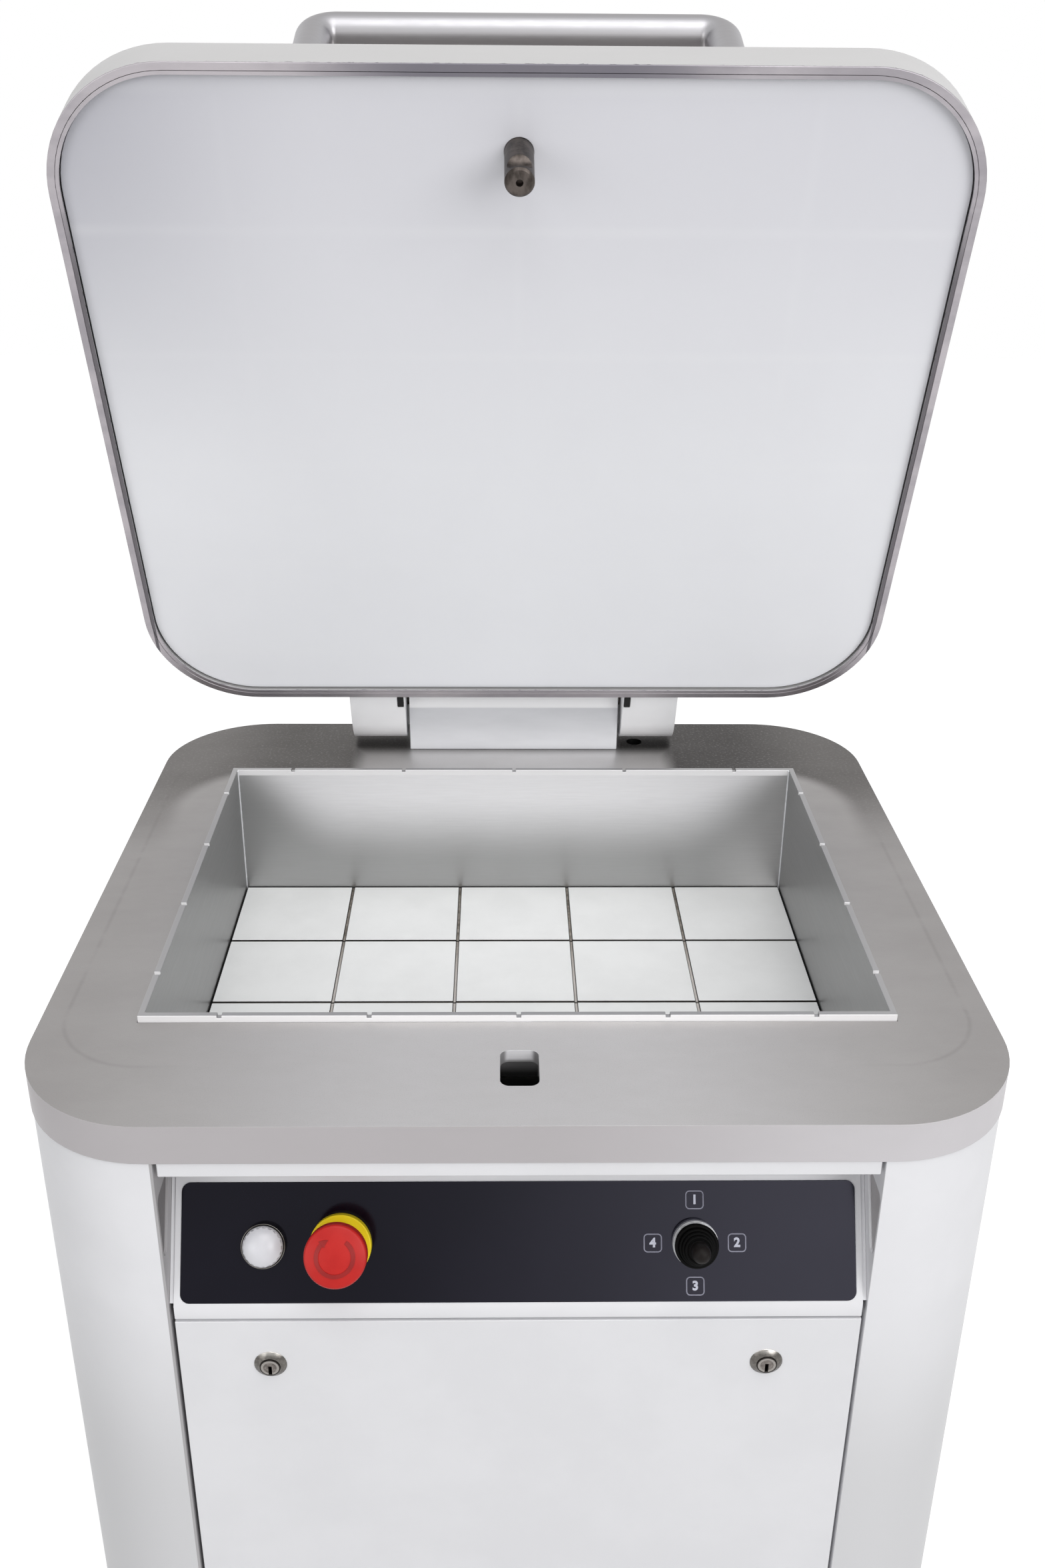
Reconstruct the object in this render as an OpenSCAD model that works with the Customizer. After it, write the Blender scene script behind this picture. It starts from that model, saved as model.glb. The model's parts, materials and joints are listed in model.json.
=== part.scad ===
// Hydraulic dough divider: a cabinet with a pan of cells, a hinged lid and a sloped console.
// Millimetres, X to the right, Y to the back, Z up, from the floor under the middle of the pan.
// The lid is drawn open, and the press and the knives are drawn down.

/* [Table] */
// Width of the table beside the pan
table_side = 65.5; // [60:0.5:80]
// Width of the table in front of the pan
table_front = 111; // [106:1:130]
// Width of the table behind the pan
table_back = 115; // [110:1:130]
// Thickness of the top plate
plate_thickness = 28; // [25:1:34]
// Corner radius of the top plate
plate_corner = 90; // [75:1:92]

/* [Pan] */
// Cells from left to right
cells_across = 5; // [4:1:5]
// Cells from front to back
cells_deep = 4; // [3:1:4]
// Cell pitch from left to right
pitch_across = 100; // [95:0.5:101]
// Cell pitch from front to back
pitch_deep = 97.5; // [93:0.5:99]
// Wall thickness of the pan
pan_wall = 4.5; // [3:0.5:6]
// Height of the pan's rim above the table
rim_height = 5; // [3:0.5:7]
// Depth from the rim to the blocks at rest
pan_depth = 120.5; // [119:0.5:125]
// Width of the notches in the rim
rim_notch_width = 3; // [2:0.5:5]
// Depth of the notches in the rim
rim_notch_depth = 2; // [1:0.5:2.5]
// Width of the pan's fixing flange under the table
pan_flange = 15; // [10:1:18]
// Thickness of the pan's fixing flange
pan_flange_thickness = 5; // [4:0.5:8]

/* [Press and knives] */
// Thickness of a press block
block_thickness = 40; // [35:1:45]
// Gap between neighbouring blocks, where a knife runs
knife_gap = 2.8; // [2.6:0.1:3.4]
// Thickness of a knife
knife_thickness = 2; // [1.5:0.1:2.1]
// Height of a knife
knife_height = 130; // [125:1:135]
// Depth of the knife edges below the blocks at rest
knife_drop = 1; // [0.5:0.5:4]
// Travel of the press
press_travel = 118; // [108:1:119]
// Travel of the knives
knife_travel = 120; // [108:1:121]
// Diameter of a block stem
stem_diameter = 30; // [20:1:40]
// Thickness of the press platform
platform_thickness = 22; // [18:1:26]
// Thickness of the knife carrier
carrier_thickness = 22; // [18:1:26]
// Diameter of the guide rods
guide_diameter = 25; // [20:1:27]
// Distance between the guide rods from front to back
guide_spread = 240; // [200:5:270]
// Diameter of the knife lift rods
lift_diameter = 16; // [12:1:20]
// Wall thickness of the guide bushes
bush_wall = 6; // [4:0.5:7]
// Diameter of the main piston rod
main_rod_diameter = 50; // [40:1:56]
// Bore of the main cylinder
main_bore = 80; // [72:1:86]
// Wall thickness of the main cylinder
main_wall = 10; // [8:1:11]
// Diameter of the knife piston rods
knife_rod_diameter = 22; // [18:1:26]
// Bore of the knife cylinders
knife_bore = 38; // [34:1:44]
// Wall thickness of the knife cylinders
knife_wall = 6; // [5:0.5:8]
// Distance from the middle to a knife cylinder
knife_cylinder_offset = 200; // [180:5:220]

/* [Lid] */
// Thickness of the lid shell
lid_thickness = 32; // [28:1:38]
// Width of the lid's bare rim
lid_rim = 5.5; // [4:0.5:8]
// Gap between the rim and the press plate
press_plate_gap = 2.7; // [1.5:0.1:4]
// Thickness of the lid's press plate
press_plate_thickness = 18; // [12:1:19]
// Angle from the closed lid to the open lid
open_angle = 68.5; // [60:0.5:75]
// Height of the hinge axis above the table
hinge_height = 44; // [42:1:50]
// Distance from the hinge axis to the back edge of the table
hinge_setback = 31.5; // [31:0.5:40]
// Width of the hinge block
hinge_block_width = 194; // [170:1:210]
// Radius of the hinge block's round top
hinge_block_radius = 30.5; // [28:0.5:31]
// Gap between the closed lid and the hinge block
lid_hinge_gap = 6; // [2.5:0.5:8]
// Diameter of the hinge shaft
shaft_diameter = 20; // [16:1:24]
// Width of a hinge arm
arm_width = 50; // [40:1:60]
// Radius of a hinge arm's knuckle
arm_radius = 40; // [36:0.5:41]
// Gap between a hinge arm and the hinge block
arm_gap = 3; // [2:0.5:5]
// Length of a hinge arm along the lid
arm_reach = 120; // [90:5:160]
// Height of a hinge arm's front end above the lid
arm_nose = 14; // [10:1:24]
// Diameter of the lid pin
pin_diameter = 20; // [16:0.5:21]
// Length of the lid pin below the press plate
pin_length = 46; // [42:0.5:48]
// Distance from the lid pin to the front edge of the lid
pin_setback = 59; // [56:1:64]
// Diameter of the handle tube
handle_diameter = 25; // [20:1:26]
// Distance between the legs of the handle
handle_span = 280; // [240:5:360]
// Height of the handle's bar above the lid
handle_rise = 57; // [46:1:62]
// Bend radius of the handle
handle_bend = 16; // [15:1:24]
// Distance from the handle to the front edge of the lid
handle_setback = 13.5; // [13:0.5:30]

/* [Latch] */
// Width of the latch slot
slot_width = 25; // [22:0.5:28]
// Length of the latch slot
slot_length = 38; // [36:1:42]
// Corner radius of the latch slot
slot_corner = 6; // [2:0.5:8]
// Diameter of the latch bolt
bolt_diameter = 14; // [12:0.5:15]
// Travel of the latch bolt
latch_travel = 13; // [11:0.5:13.5]
// Diameter of the lid sensor
sensor_diameter = 14.5; // [8:0.5:16]
// Distance from the inner side of a hinge arm out to the lid sensor
sensor_step = 15; // [10:1:40]
// Distance from the lid sensor to the back edge of the table
sensor_setback = 43.5; // [30:0.5:60]

/* [Cabinet] */
// Thickness of the cover sheets
sheet = 2; // [1.5:0.1:2.5]
// Inset of the covers from the edge of the table
cover_inset = 1; // [0.5:0.1:3]
// Width of a side cover at the front
cover_front = 95; // [94:1:105]
// Gap along the seams of the covers
seam = 2.5; // [1.5:0.1:4]
// Depth of the folded edges of the covers
return_depth = 45; // [42:1:60]
// Height of the header rail
header_height = 11; // [8:0.5:16]
// Distance from the top plate down to the console's lower edge
console_drop = 126; // [120:1:136]
// Height of the console's upright lip
console_lip = 10.5; // [8:0.5:14]
// Length of the console's sloped face
console_slope = 85; // [84:0.5:92]
// Angle of the sloped face from upright
console_tilt = 30; // [25:0.5:33]
// Margin of the console label at the ends of the console
label_margin = 4.2; // [2:0.1:20]
// Height of the console label
label_height = 76.5; // [70:0.5:77]
// Distance from the lower edge of the covers up to the front and rear panels
panel_rise = 6; // [2:1:20]

/* [Controls] */
// Distance up the slope to the middle of the controls
control_rise = 39; // [36:0.5:42]
// Distance from the end of the console to the start button
button_edge = 57.7; // [40:0.1:70]
// Diameter of the start button's bezel
button_bezel_diameter = 28.5; // [28:0.5:34]
// Diameter of the start button's cap
button_cap_diameter = 26; // [20:0.5:26.5]
// Height of the start button's cap
button_cap_height = 9; // [7:0.5:14]
// Travel of the start button
button_travel = 4; // [2:0.5:5]
// Distance between the start button and the stop button
stop_spacing = 49.5; // [45:0.5:70]
// Diameter of the stop button's head
stop_head_diameter = 39.5; // [34:0.5:42]
// Diameter of the stop button's collar
stop_collar_diameter = 40; // [34:0.5:44]
// Height of the stop button's collar
stop_collar_height = 8; // [5:0.5:12]
// Height of the stop button above the console
stop_height = 40; // [36:0.5:48]
// Travel of the stop button
stop_travel = 5; // [3:0.5:6]
// Distance from the end of the console to the joystick
joystick_edge = 108.6; // [80:0.1:130]
// Diameter of the joystick's ring
joystick_ring_diameter = 29.4; // [28.8:0.1:34]
// Height of the joystick above the console
joystick_height = 39; // [34:0.5:50]
// Distance from the side of the front panel to a lock
lock_edge = 59.5; // [40:0.5:80]
// Distance from the top of the front panel down to the locks
lock_drop = 36.5; // [35:0.5:39]
// Diameter of a lock's domed rose
lock_diameter = 21.5; // [19:0.5:26]
// Diameter of a lock's plug
plug_diameter = 13.5; // [10:0.5:14]

/* [Underframe] */
// Height of the base frame above the floor
base_height = 120; // [110:1:124]
// Depth of the base frame
base_depth = 46; // [40:1:50]
// Thickness of the base frame's sheets
base_sheet = 6; // [4:0.5:8]
// Width of the base frame's lower flange
base_flange = 70; // [60:1:90]
// Side of a square post
post_side = 40; // [30:1:44]
// Wall of a square post
post_wall = 3; // [2:0.5:4]
// Distance from a post's middle to the cover
post_inset = 55; // [52:1:60]
// Diameter of a castor wheel
wheel_diameter = 100; // [90:1:104]
// Width of a castor wheel
wheel_width = 32; // [24:1:38]
// Diameter of a castor axle
axle_diameter = 12; // [8:0.5:16]
// Distance from the sides of the base to a castor or a foot
stand_inset = 87; // [84:1:100]
// Diameter of a levelling foot
foot_diameter = 60; // [50:1:70]
// Diameter of a levelling foot's screw
foot_screw_diameter = 16; // [12:1:20]
// Diameter of the holes that bolt the base to a pallet
pallet_hole = 11; // [9:0.5:14]
// Distance between the pallet holes from left to right
pallet_spread = 300; // [260:5:360]

/* [Hidden] */
$fn = 96;

// Overrun of every cut past the face that it opens
cut = 1;
// Clearances: a close seat, a running shaft, and pieces that only pass each other
seat_gap = 0.3;
run_gap = 0.05;
pass_gap = 5;
pan_fit = 0.4;

// Colours
paint_white = [0.90, 0.90, 0.91];
plate_grey = [0.68, 0.67, 0.66];
bare_metal = [0.80, 0.81, 0.83];
block_white = [0.94, 0.95, 0.94];
steel_dark = [0.32, 0.31, 0.31];
frame_grey = [0.45, 0.46, 0.48];
label_black = [0.12, 0.12, 0.14];
rubber_black = [0.06, 0.06, 0.06];
stop_red = [0.80, 0.20, 0.17];
stop_yellow = [0.85, 0.75, 0.12];
bronze = [0.72, 0.55, 0.30];
motor_blue = [0.25, 0.33, 0.45];

// Edges of the pan and the table
pan_w = cells_across * pitch_across;
pan_d = cells_deep * pitch_deep;
pan_outer_w = pan_w + 2 * pan_wall;
pan_outer_d = pan_d + 2 * pan_wall;
block_w = pitch_across - knife_gap;
block_d = pitch_deep - knife_gap;
plate_width = pan_outer_w + 2 * table_side;
plate_front = -pan_outer_d / 2 - table_front;
plate_rear = pan_outer_d / 2 + table_back;
plate_depth = plate_rear - plate_front;
plate_shift = (plate_front + plate_rear) / 2;

// Cylinders: cap, piston, stroke and head
cylinder_cap = 12;
cylinder_head = 18;
cylinder_spare = 16.5;
piston_thickness = 24;
stroke = max(press_travel, knife_travel);
cylinder_height = cylinder_cap + piston_thickness + stroke + cylinder_head + cylinder_spare;

// Levels from the floor up, with the press and the knives at rest
base_top = base_height + base_depth;
carrier_bottom = base_top + cylinder_height + pass_gap;
carrier_top = carrier_bottom + carrier_thickness;
platform_bottom = carrier_top + knife_travel + pass_gap;
platform_top = platform_bottom + platform_thickness;
knife_bottom = platform_top + press_travel + pass_gap;
knife_top = knife_bottom + knife_height;
block_top = knife_top + knife_drop;
block_bottom = block_top - block_thickness;
pan_skirt = 8;
pan_bottom = block_bottom - pan_skirt;
rim_top = block_top + pan_depth;
table_height = rim_top - rim_height;
plate_bottom = table_height - plate_thickness;

// Slides and guides
knife_end_gap = 1.5;
lift_x = (cells_across / 2 - 1) * pitch_across;
lift_y = (cells_deep / 2 - 1) * pitch_deep;
guide_x = pan_outer_w / 2 + pan_flange + pass_gap + guide_diameter / 2;
guide_bush = guide_diameter + 2 * bush_wall;
lift_bush = lift_diameter + 2 * bush_wall;
slide_margin = 8;
slide_w = 2 * guide_x + guide_bush + slide_margin;
platform_margin = 75;
carrier_margin = 30;
platform_d = guide_spread + 2 * platform_margin;
carrier_d = guide_spread + 2 * carrier_margin;

// Covers and base
cover_w = plate_width - 2 * cover_inset;
cover_d = plate_depth - 2 * cover_inset;
cover_corner = plate_corner - cover_inset;
front_y = plate_front + cover_inset;
rear_y = plate_rear - cover_inset;
base_inset = cover_inset + sheet;
base_w = plate_width - 2 * base_inset;
base_d = plate_depth - 2 * base_inset;
base_corner = plate_corner - base_inset;
cover_bottom = base_height;
post_x = base_w / 2 - post_inset;
post_y = base_d / 2 - post_inset;
stand_x = base_w / 2 - stand_inset;
stand_y = base_d / 2 - stand_inset;
front_half_width = plate_width / 2 - cover_front;
front_half_gap = front_half_width - seam;
console_bottom = plate_bottom - console_drop;
panel_top = console_bottom - seam;
panel_bottom = base_height + panel_rise;
fold_depth = 18;
fold_bottom = base_top + pass_gap;

// Console, in a frame that lies on its sloped face
console_lip_top = console_bottom + console_lip;
console_half = front_half_gap - seat_gap;
button_place = button_edge - console_half;
stop_place = button_place + stop_spacing;
joystick_place = console_half - joystick_edge;
label_width = 2 * console_half - 2 * label_margin;
slope_end_y = front_y + console_slope * sin(console_tilt);
slope_end_z = console_lip_top + console_slope * cos(console_tilt);
label_thickness = 0.5;
label_corner = 6;
label_rise = 2;
catch_depth = 22;
catch_drop = 20;
control_hole = 22.5;
control_body = 22;
control_reach = 25;

// Lid when closed
lid_front = plate_front;
hinge_y = plate_rear - hinge_setback;
hinge_z = table_height + hinge_height;
lid_rear = hinge_y - hinge_block_radius - lid_hinge_gap;
lid_length = lid_rear - lid_front;
lid_middle = (lid_front + lid_rear) / 2;
lid_bottom = table_height + seat_gap;
lid_top = lid_bottom + lid_thickness;
press_face = rim_top + seat_gap;
lid_inside = press_face + press_plate_thickness;
arm_in = hinge_block_width / 2 + arm_gap;
arm_out = arm_in + arm_width;
sensor_offset = arm_in + sensor_step;
plug_width = 5.5;
plug_inset = 1.2;
plug_length = 14;
plug_depth = 7;
plug_proud = 0.8;

// Latch and pin
pin_y = lid_front + pin_setback;
pin_tip = press_face - pin_length;
pin_notch_share = 0.74;
pin_notch_radius = 10;
pin_notch_gap = 1;
pin_notch_depth = latch_travel + (pin_diameter - slot_length - cut) / 2 + pin_notch_gap;
pin_notch_y = pin_y - pin_diameter / 2 + pin_notch_depth - pin_notch_radius;
pin_chamfer = 1.5;
pin_drill = 5;
bolt_z = press_face - pin_length * pin_notch_share;
bolt_tip = pin_y - slot_length / 2 - cut / 2;
latch_wall = 5;
latch_w = bolt_diameter + 4 * latch_wall;
latch_front = plate_front + 2 * latch_wall;
latch_rear = bolt_tip - seat_gap;
latch_top = bolt_z + bolt_diameter / 2 + latch_wall;
latch_bottom = bolt_z - bolt_diameter / 2 - latch_wall;
latch_room = latch_w + 2 * pass_gap;

// Locks: the plug's cam stands behind the console's catch
lock_offset = front_half_gap - lock_edge;
lock_z = panel_top - lock_drop;
lock_dome = 4.5;
lock_dome_share = 0.75;
lock_body_length = 22;
cam_length = 30;
cam_width = 10;
cam_thickness = 3;

// Points of the four guide rods and the four lift rods
guide_points = [for (x = [-guide_x, guide_x], y = [-guide_spread / 2, guide_spread / 2]) [x, y]];
lift_points = [for (x = [-lift_x, lift_x], y = [-lift_y, lift_y]) [x, y]];
cell_points = [
    for (i = [0 : cells_across - 1], j = [0 : cells_deep - 1])
        [(i + 1 / 2) * pitch_across - pan_w / 2, (j + 1 / 2) * pitch_deep - pan_d / 2]
];

// Flat outline with round corners
module rounded_outline(width, depth, radius) {
    square([width - 2 * radius, depth], center = true);
    square([width, depth - 2 * radius], center = true);
    for (x = [-1, 1], y = [-1, 1])
        translate([x * (width / 2 - radius), y * (depth / 2 - radius)])
            circle(radius);
}

// Slab with the outline above, from a level up
module rounded_slab(width, depth, radius, bottom, height) {
    translate([0, 0, bottom])
        linear_extrude(height)
            rounded_outline(width, depth, radius);
}

// Block that is centred sideways and front to back on a place
module block(place, size, bottom) {
    translate([place[0] - size[0] / 2, place[1] - size[1] / 2, bottom])
        cube(size);
}

// Round bar that lies from left to right, centred on a place
module cross_bar(place, diameter, length) {
    translate(place)
        rotate([0, 90, 0])
            cylinder(d = diameter, h = length, center = true);
}

// Upright tube at a place
module tube(place, outer, inner, bottom, height) {
    translate([place[0], place[1], bottom])
        difference() {
            cylinder(d = outer, h = height);
            translate([0, 0, -cut])
                cylinder(d = inner, h = height + 2 * cut);
        }
}

// Hydraulic cylinder body with a closed bottom and a rod hole in its head
module cylinder_body(place, bore, wall, rod) {
    translate([place[0], place[1], base_top])
        difference() {
            cylinder(d = bore + 2 * wall, h = cylinder_height);
            translate([0, 0, cylinder_cap])
                cylinder(d = bore, h = cylinder_height - cylinder_cap - cylinder_head);
            translate([0, 0, cylinder_cap])
                cylinder(d = rod + 2 * run_gap, h = cylinder_height);
        }
}

// Piston with its rod, from the bottom of the cylinder up to a level
module piston(place, bore, rod, top) {
    translate([place[0], place[1], base_top + cylinder_cap]) {
        cylinder(d = bore - 2 * run_gap, h = piston_thickness);
        cylinder(d = rod, h = top - base_top - cylinder_cap);
    }
}

// Places what follows on the console's sloped face, with Z out of the face
module on_slope(x, rise) {
    translate([0, front_y, console_lip_top])
        rotate([90 - console_tilt, 0, 0])
            translate([x, rise, 0])
                children();
}

// Turns what is drawn on the closed lid to the open lid
module opened() {
    translate([0, hinge_y, hinge_z])
        rotate([-open_angle, 0, 0])
            translate([0, -hinge_y, -hinge_z])
                children();
}

// Places what follows on the front panel, with Z out of the panel
module on_panel(x, z) {
    translate([x, front_y, z])
        rotate([90, 0, 0])
            children();
}

// Table

latch_pocket_w = latch_w + 2 * seat_gap;
latch_pocket_d = latch_rear - latch_front + 2 * seat_gap;
slot_lip = 9;
slot_room = 10;
slot_well_w = slot_width + 2 * slot_room;
slot_well_d = pin_y + slot_length / 2 + slot_room - latch_rear;

module top_plate() {
    color(plate_grey)
        difference() {
            translate([0, plate_shift, 0])
                rounded_slab(plate_width, plate_depth, plate_corner, plate_bottom, plate_thickness);
            block([0, 0], [pan_outer_w + 2 * pan_fit, pan_outer_d + 2 * pan_fit, plate_thickness + 2 * cut],
                plate_bottom - cut);
            translate([0, pin_y, 0])
                rounded_slab(slot_width, slot_length, slot_corner, plate_bottom - cut,
                    plate_thickness + 2 * cut);
            translate([-latch_pocket_w / 2, latch_front - seat_gap, plate_bottom - cut])
                cube([latch_pocket_w, latch_pocket_d, latch_top - plate_bottom + cut]);
            translate([-slot_well_w / 2, latch_rear, plate_bottom - cut])
                cube([slot_well_w, slot_well_d, plate_thickness - slot_lip + cut]);
            translate([sensor_offset, plate_rear - sensor_setback, plate_bottom - cut])
                cylinder(d = sensor_diameter + 2 * run_gap, h = plate_thickness + 2 * cut);
        }
}

module pan() {
    rim_cut = rim_notch_depth + cut;
    color(bare_metal)
        difference() {
            union() {
                block([0, 0], [pan_outer_w, pan_outer_d, rim_top - pan_bottom], pan_bottom);
                block([0, 0],
                    [pan_outer_w + 2 * pan_flange, pan_outer_d + 2 * pan_flange, pan_flange_thickness],
                    plate_bottom - pan_flange_thickness);
            }
            block([0, 0], [pan_w, pan_d, rim_top - pan_bottom + 2 * cut], pan_bottom - cut);
            for (i = [0 : cells_across - 1])
                block([(i + 1 / 2) * pitch_across - pan_w / 2, 0],
                    [rim_notch_width, pan_outer_d + 2 * cut, rim_cut], rim_top - rim_notch_depth);
            for (j = [0 : cells_deep - 1])
                block([0, (j + 1 / 2) * pitch_deep - pan_d / 2],
                    [pan_outer_w + 2 * cut, rim_notch_width, rim_cut], rim_top - rim_notch_depth);
        }
}

sensor_length = 45;
sensor_sunk = 6;

module lid_sensor() {
    color(rubber_black)
        translate([sensor_offset, plate_rear - sensor_setback, table_height - sensor_sunk - sensor_length])
            cylinder(d = sensor_diameter, h = sensor_length);
}

module latch_housing() {
    bore_length = latch_rear - latch_front - latch_wall;
    color(steel_dark)
        difference() {
            translate([-latch_w / 2, latch_front, latch_bottom])
                cube([latch_w, latch_rear - latch_front, latch_top - latch_bottom]);
            translate([0, latch_rear + cut, bolt_z])
                rotate([90, 0, 0])
                    cylinder(d = bolt_diameter + 2 * run_gap, h = bore_length + cut);
        }
}

module latch_bolt() {
    bolt_back = latch_front + latch_wall;
    bolt_nose = bolt_tip - bolt_diameter / 2;
    color(bare_metal)
        union() {
            translate([0, bolt_nose, bolt_z])
                rotate([90, 0, 0])
                    cylinder(d = bolt_diameter, h = bolt_nose - bolt_back);
            translate([0, bolt_nose, bolt_z])
                sphere(d = bolt_diameter);
        }
}

// Hinge

spring_bore = 44;
spring_length = 120;
spring_gap = 0.6;

module hinge_block() {
    color(bare_metal)
        difference() {
            translate([0, hinge_y, table_height])
                rotate([90, 0, 90])
                    linear_extrude(hinge_block_width, center = true)
                        union() {
                            translate([-hinge_block_radius, 0])
                                square([2 * hinge_block_radius, hinge_height]);
                            translate([0, hinge_height])
                                circle(hinge_block_radius);
                        }
            cross_bar([0, hinge_y, hinge_z], shaft_diameter + 2 * run_gap, hinge_block_width + 2 * cut);
            cross_bar([0, hinge_y, hinge_z], spring_bore, spring_length);
        }
}

module hinge_spring() {
    spring_inner = shaft_diameter + 2 * spring_gap;
    spring_outer = spring_bore - 2 * spring_gap;
    color(steel_dark)
        difference() {
            cross_bar([0, hinge_y, hinge_z], spring_outer, spring_length - 2 * spring_gap);
            cross_bar([0, hinge_y, hinge_z], spring_inner, spring_length);
        }
}

shaft_recess = 4;

module hinge_shaft() {
    color(steel_dark)
        cross_bar([0, hinge_y, hinge_z], shaft_diameter, 2 * (arm_out - shaft_recess));
}

// Black buffer let into the underside of a hinge arm, next to the lid
module plug_shape(side, spare) {
    x = side * (arm_in + plug_inset + plug_width / 2);
    y = lid_rear + plug_inset + plug_length / 2;
    block([x, y], [plug_width + 2 * spare, plug_length + 2 * spare, plug_depth + spare],
        hinge_z - arm_radius - plug_proud);
}

module hinge_plugs() {
    color(rubber_black)
        opened()
            for (side = [-1, 1])
                plug_shape(side, 0);
}

module arm_side() {
    arm_front = lid_rear - arm_reach;
    polygon([
        [arm_front, lid_top],
        [arm_front, lid_top + arm_nose],
        [hinge_y, hinge_z + arm_radius],
        [hinge_y, hinge_z - arm_radius],
        [lid_rear, hinge_z - arm_radius],
        [lid_rear, lid_top]
    ]);
}

module hinge_arms() {
    color(paint_white)
        opened()
            for (side = [-1, 1])
                difference() {
                    translate([side * (arm_in + arm_out) / 2, 0, 0])
                        union() {
                            rotate([90, 0, 90])
                                linear_extrude(arm_width, center = true)
                                    arm_side();
                            cross_bar([0, hinge_y, hinge_z], 2 * arm_radius, arm_width);
                        }
                    translate([-plate_width / 2, lid_front, lid_bottom])
                        cube([plate_width, lid_length, lid_thickness]);
                    cross_bar([0, hinge_y, hinge_z], shaft_diameter + 2 * run_gap, plate_width);
                    plug_shape(side, run_gap);
                }
}

arm_screw_diameter = 13;
arm_screw_height = 8;
arm_screw_shares = [0.15, 0.4];

module arm_screws() {
    slope = atan2(hinge_z + arm_radius - lid_top - arm_nose, arm_reach + hinge_y - lid_rear);
    color(steel_dark)
        opened()
            for (side = [-1, 1], share = arm_screw_shares)
                translate([side * (arm_in + arm_out) / 2, lid_rear - arm_reach, lid_top + arm_nose])
                    rotate([slope, 0, 0])
                        translate([0, arm_reach * share, 0])
                            difference() {
                                cylinder(d = arm_screw_diameter, h = arm_screw_height);
                                translate([0, 0, arm_screw_height / 2])
                                    cylinder(d = arm_screw_diameter / 2, h = arm_screw_height, $fn = 6);
                            }
}

// Lid

module lid_shell() {
    color(paint_white)
        opened()
            translate([0, lid_middle, 0])
                difference() {
                    rounded_slab(plate_width, lid_length, plate_corner, lid_bottom, lid_thickness);
                    rounded_slab(plate_width - 2 * lid_rim, lid_length - 2 * lid_rim, plate_corner - lid_rim,
                        lid_bottom - cut, lid_inside - lid_bottom + cut);
                }
}

module lid_press_plate() {
    edge = lid_rim + press_plate_gap;
    color(block_white)
        opened()
            difference() {
                translate([0, lid_middle, 0])
                    rounded_slab(plate_width - 2 * edge, lid_length - 2 * edge, plate_corner - edge,
                        press_face, press_plate_thickness);
                translate([0, pin_y, press_face - cut])
                    cylinder(d = pin_diameter + 2 * run_gap, h = press_plate_thickness + 2 * cut);
            }
}

module lid_pin() {
    color(steel_dark)
        opened()
            translate([0, pin_y, 0])
                difference() {
                    union() {
                        translate([0, 0, pin_tip + pin_chamfer])
                            cylinder(d = pin_diameter, h = lid_inside - pin_tip - pin_chamfer);
                        translate([0, 0, pin_tip])
                            cylinder(d1 = pin_diameter - 2 * pin_chamfer, d2 = pin_diameter, h = pin_chamfer);
                    }
                    cross_bar([0, pin_notch_y - pin_y, bolt_z], 2 * pin_notch_radius, pin_diameter + 2 * cut);
                    translate([0, 0, pin_tip - cut])
                        cylinder(d = pin_drill, h = pin_drill + cut);
                }
}

module lid_handle() {
    bend_x = handle_span / 2 - handle_bend;
    bend_z = lid_top + handle_rise - handle_bend;
    bar_y = lid_front + handle_setback;
    color(bare_metal)
        opened()
            union() {
                cross_bar([0, bar_y, lid_top + handle_rise], handle_diameter, 2 * bend_x);
                for (side = [0, 1])
                    mirror([side, 0, 0]) {
                        translate([bend_x, bar_y, bend_z])
                            rotate([90, 0, 0])
                                rotate_extrude(angle = 90)
                                    translate([handle_bend, 0])
                                        circle(d = handle_diameter);
                        translate([handle_span / 2, bar_y, lid_top])
                            cylinder(d = handle_diameter, h = bend_z - lid_top);
                    }
            }
}

// Press

module press_blocks() {
    color(block_white)
        for (place = cell_points)
            block(place, [block_w, block_d, block_thickness], block_bottom);
}

module block_stems() {
    color(bare_metal)
        for (place = cell_points)
            translate([place[0], place[1], platform_top])
                cylinder(d = stem_diameter, h = block_bottom - platform_top);
}

module press_platform() {
    color(frame_grey)
        difference() {
            block([0, 0], [slide_w, platform_d, platform_thickness], platform_bottom);
            for (place = guide_points)
                translate([place[0], place[1], platform_bottom - cut])
                    cylinder(d = guide_bush, h = platform_thickness + 2 * cut);
            for (place = lift_points)
                translate([place[0], place[1], platform_bottom - cut])
                    cylinder(d = lift_bush, h = platform_thickness + 2 * cut);
        }
}

module platform_bushes() {
    color(bronze)
        union() {
            for (place = guide_points)
                tube(place, guide_bush, guide_diameter + 2 * run_gap, platform_bottom, platform_thickness);
            for (place = lift_points)
                tube(place, lift_bush, lift_diameter + 2 * run_gap, platform_bottom, platform_thickness);
        }
}

module main_piston() {
    color(bare_metal)
        piston([0, 0], main_bore, main_rod_diameter, platform_bottom);
}

// Knives

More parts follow.
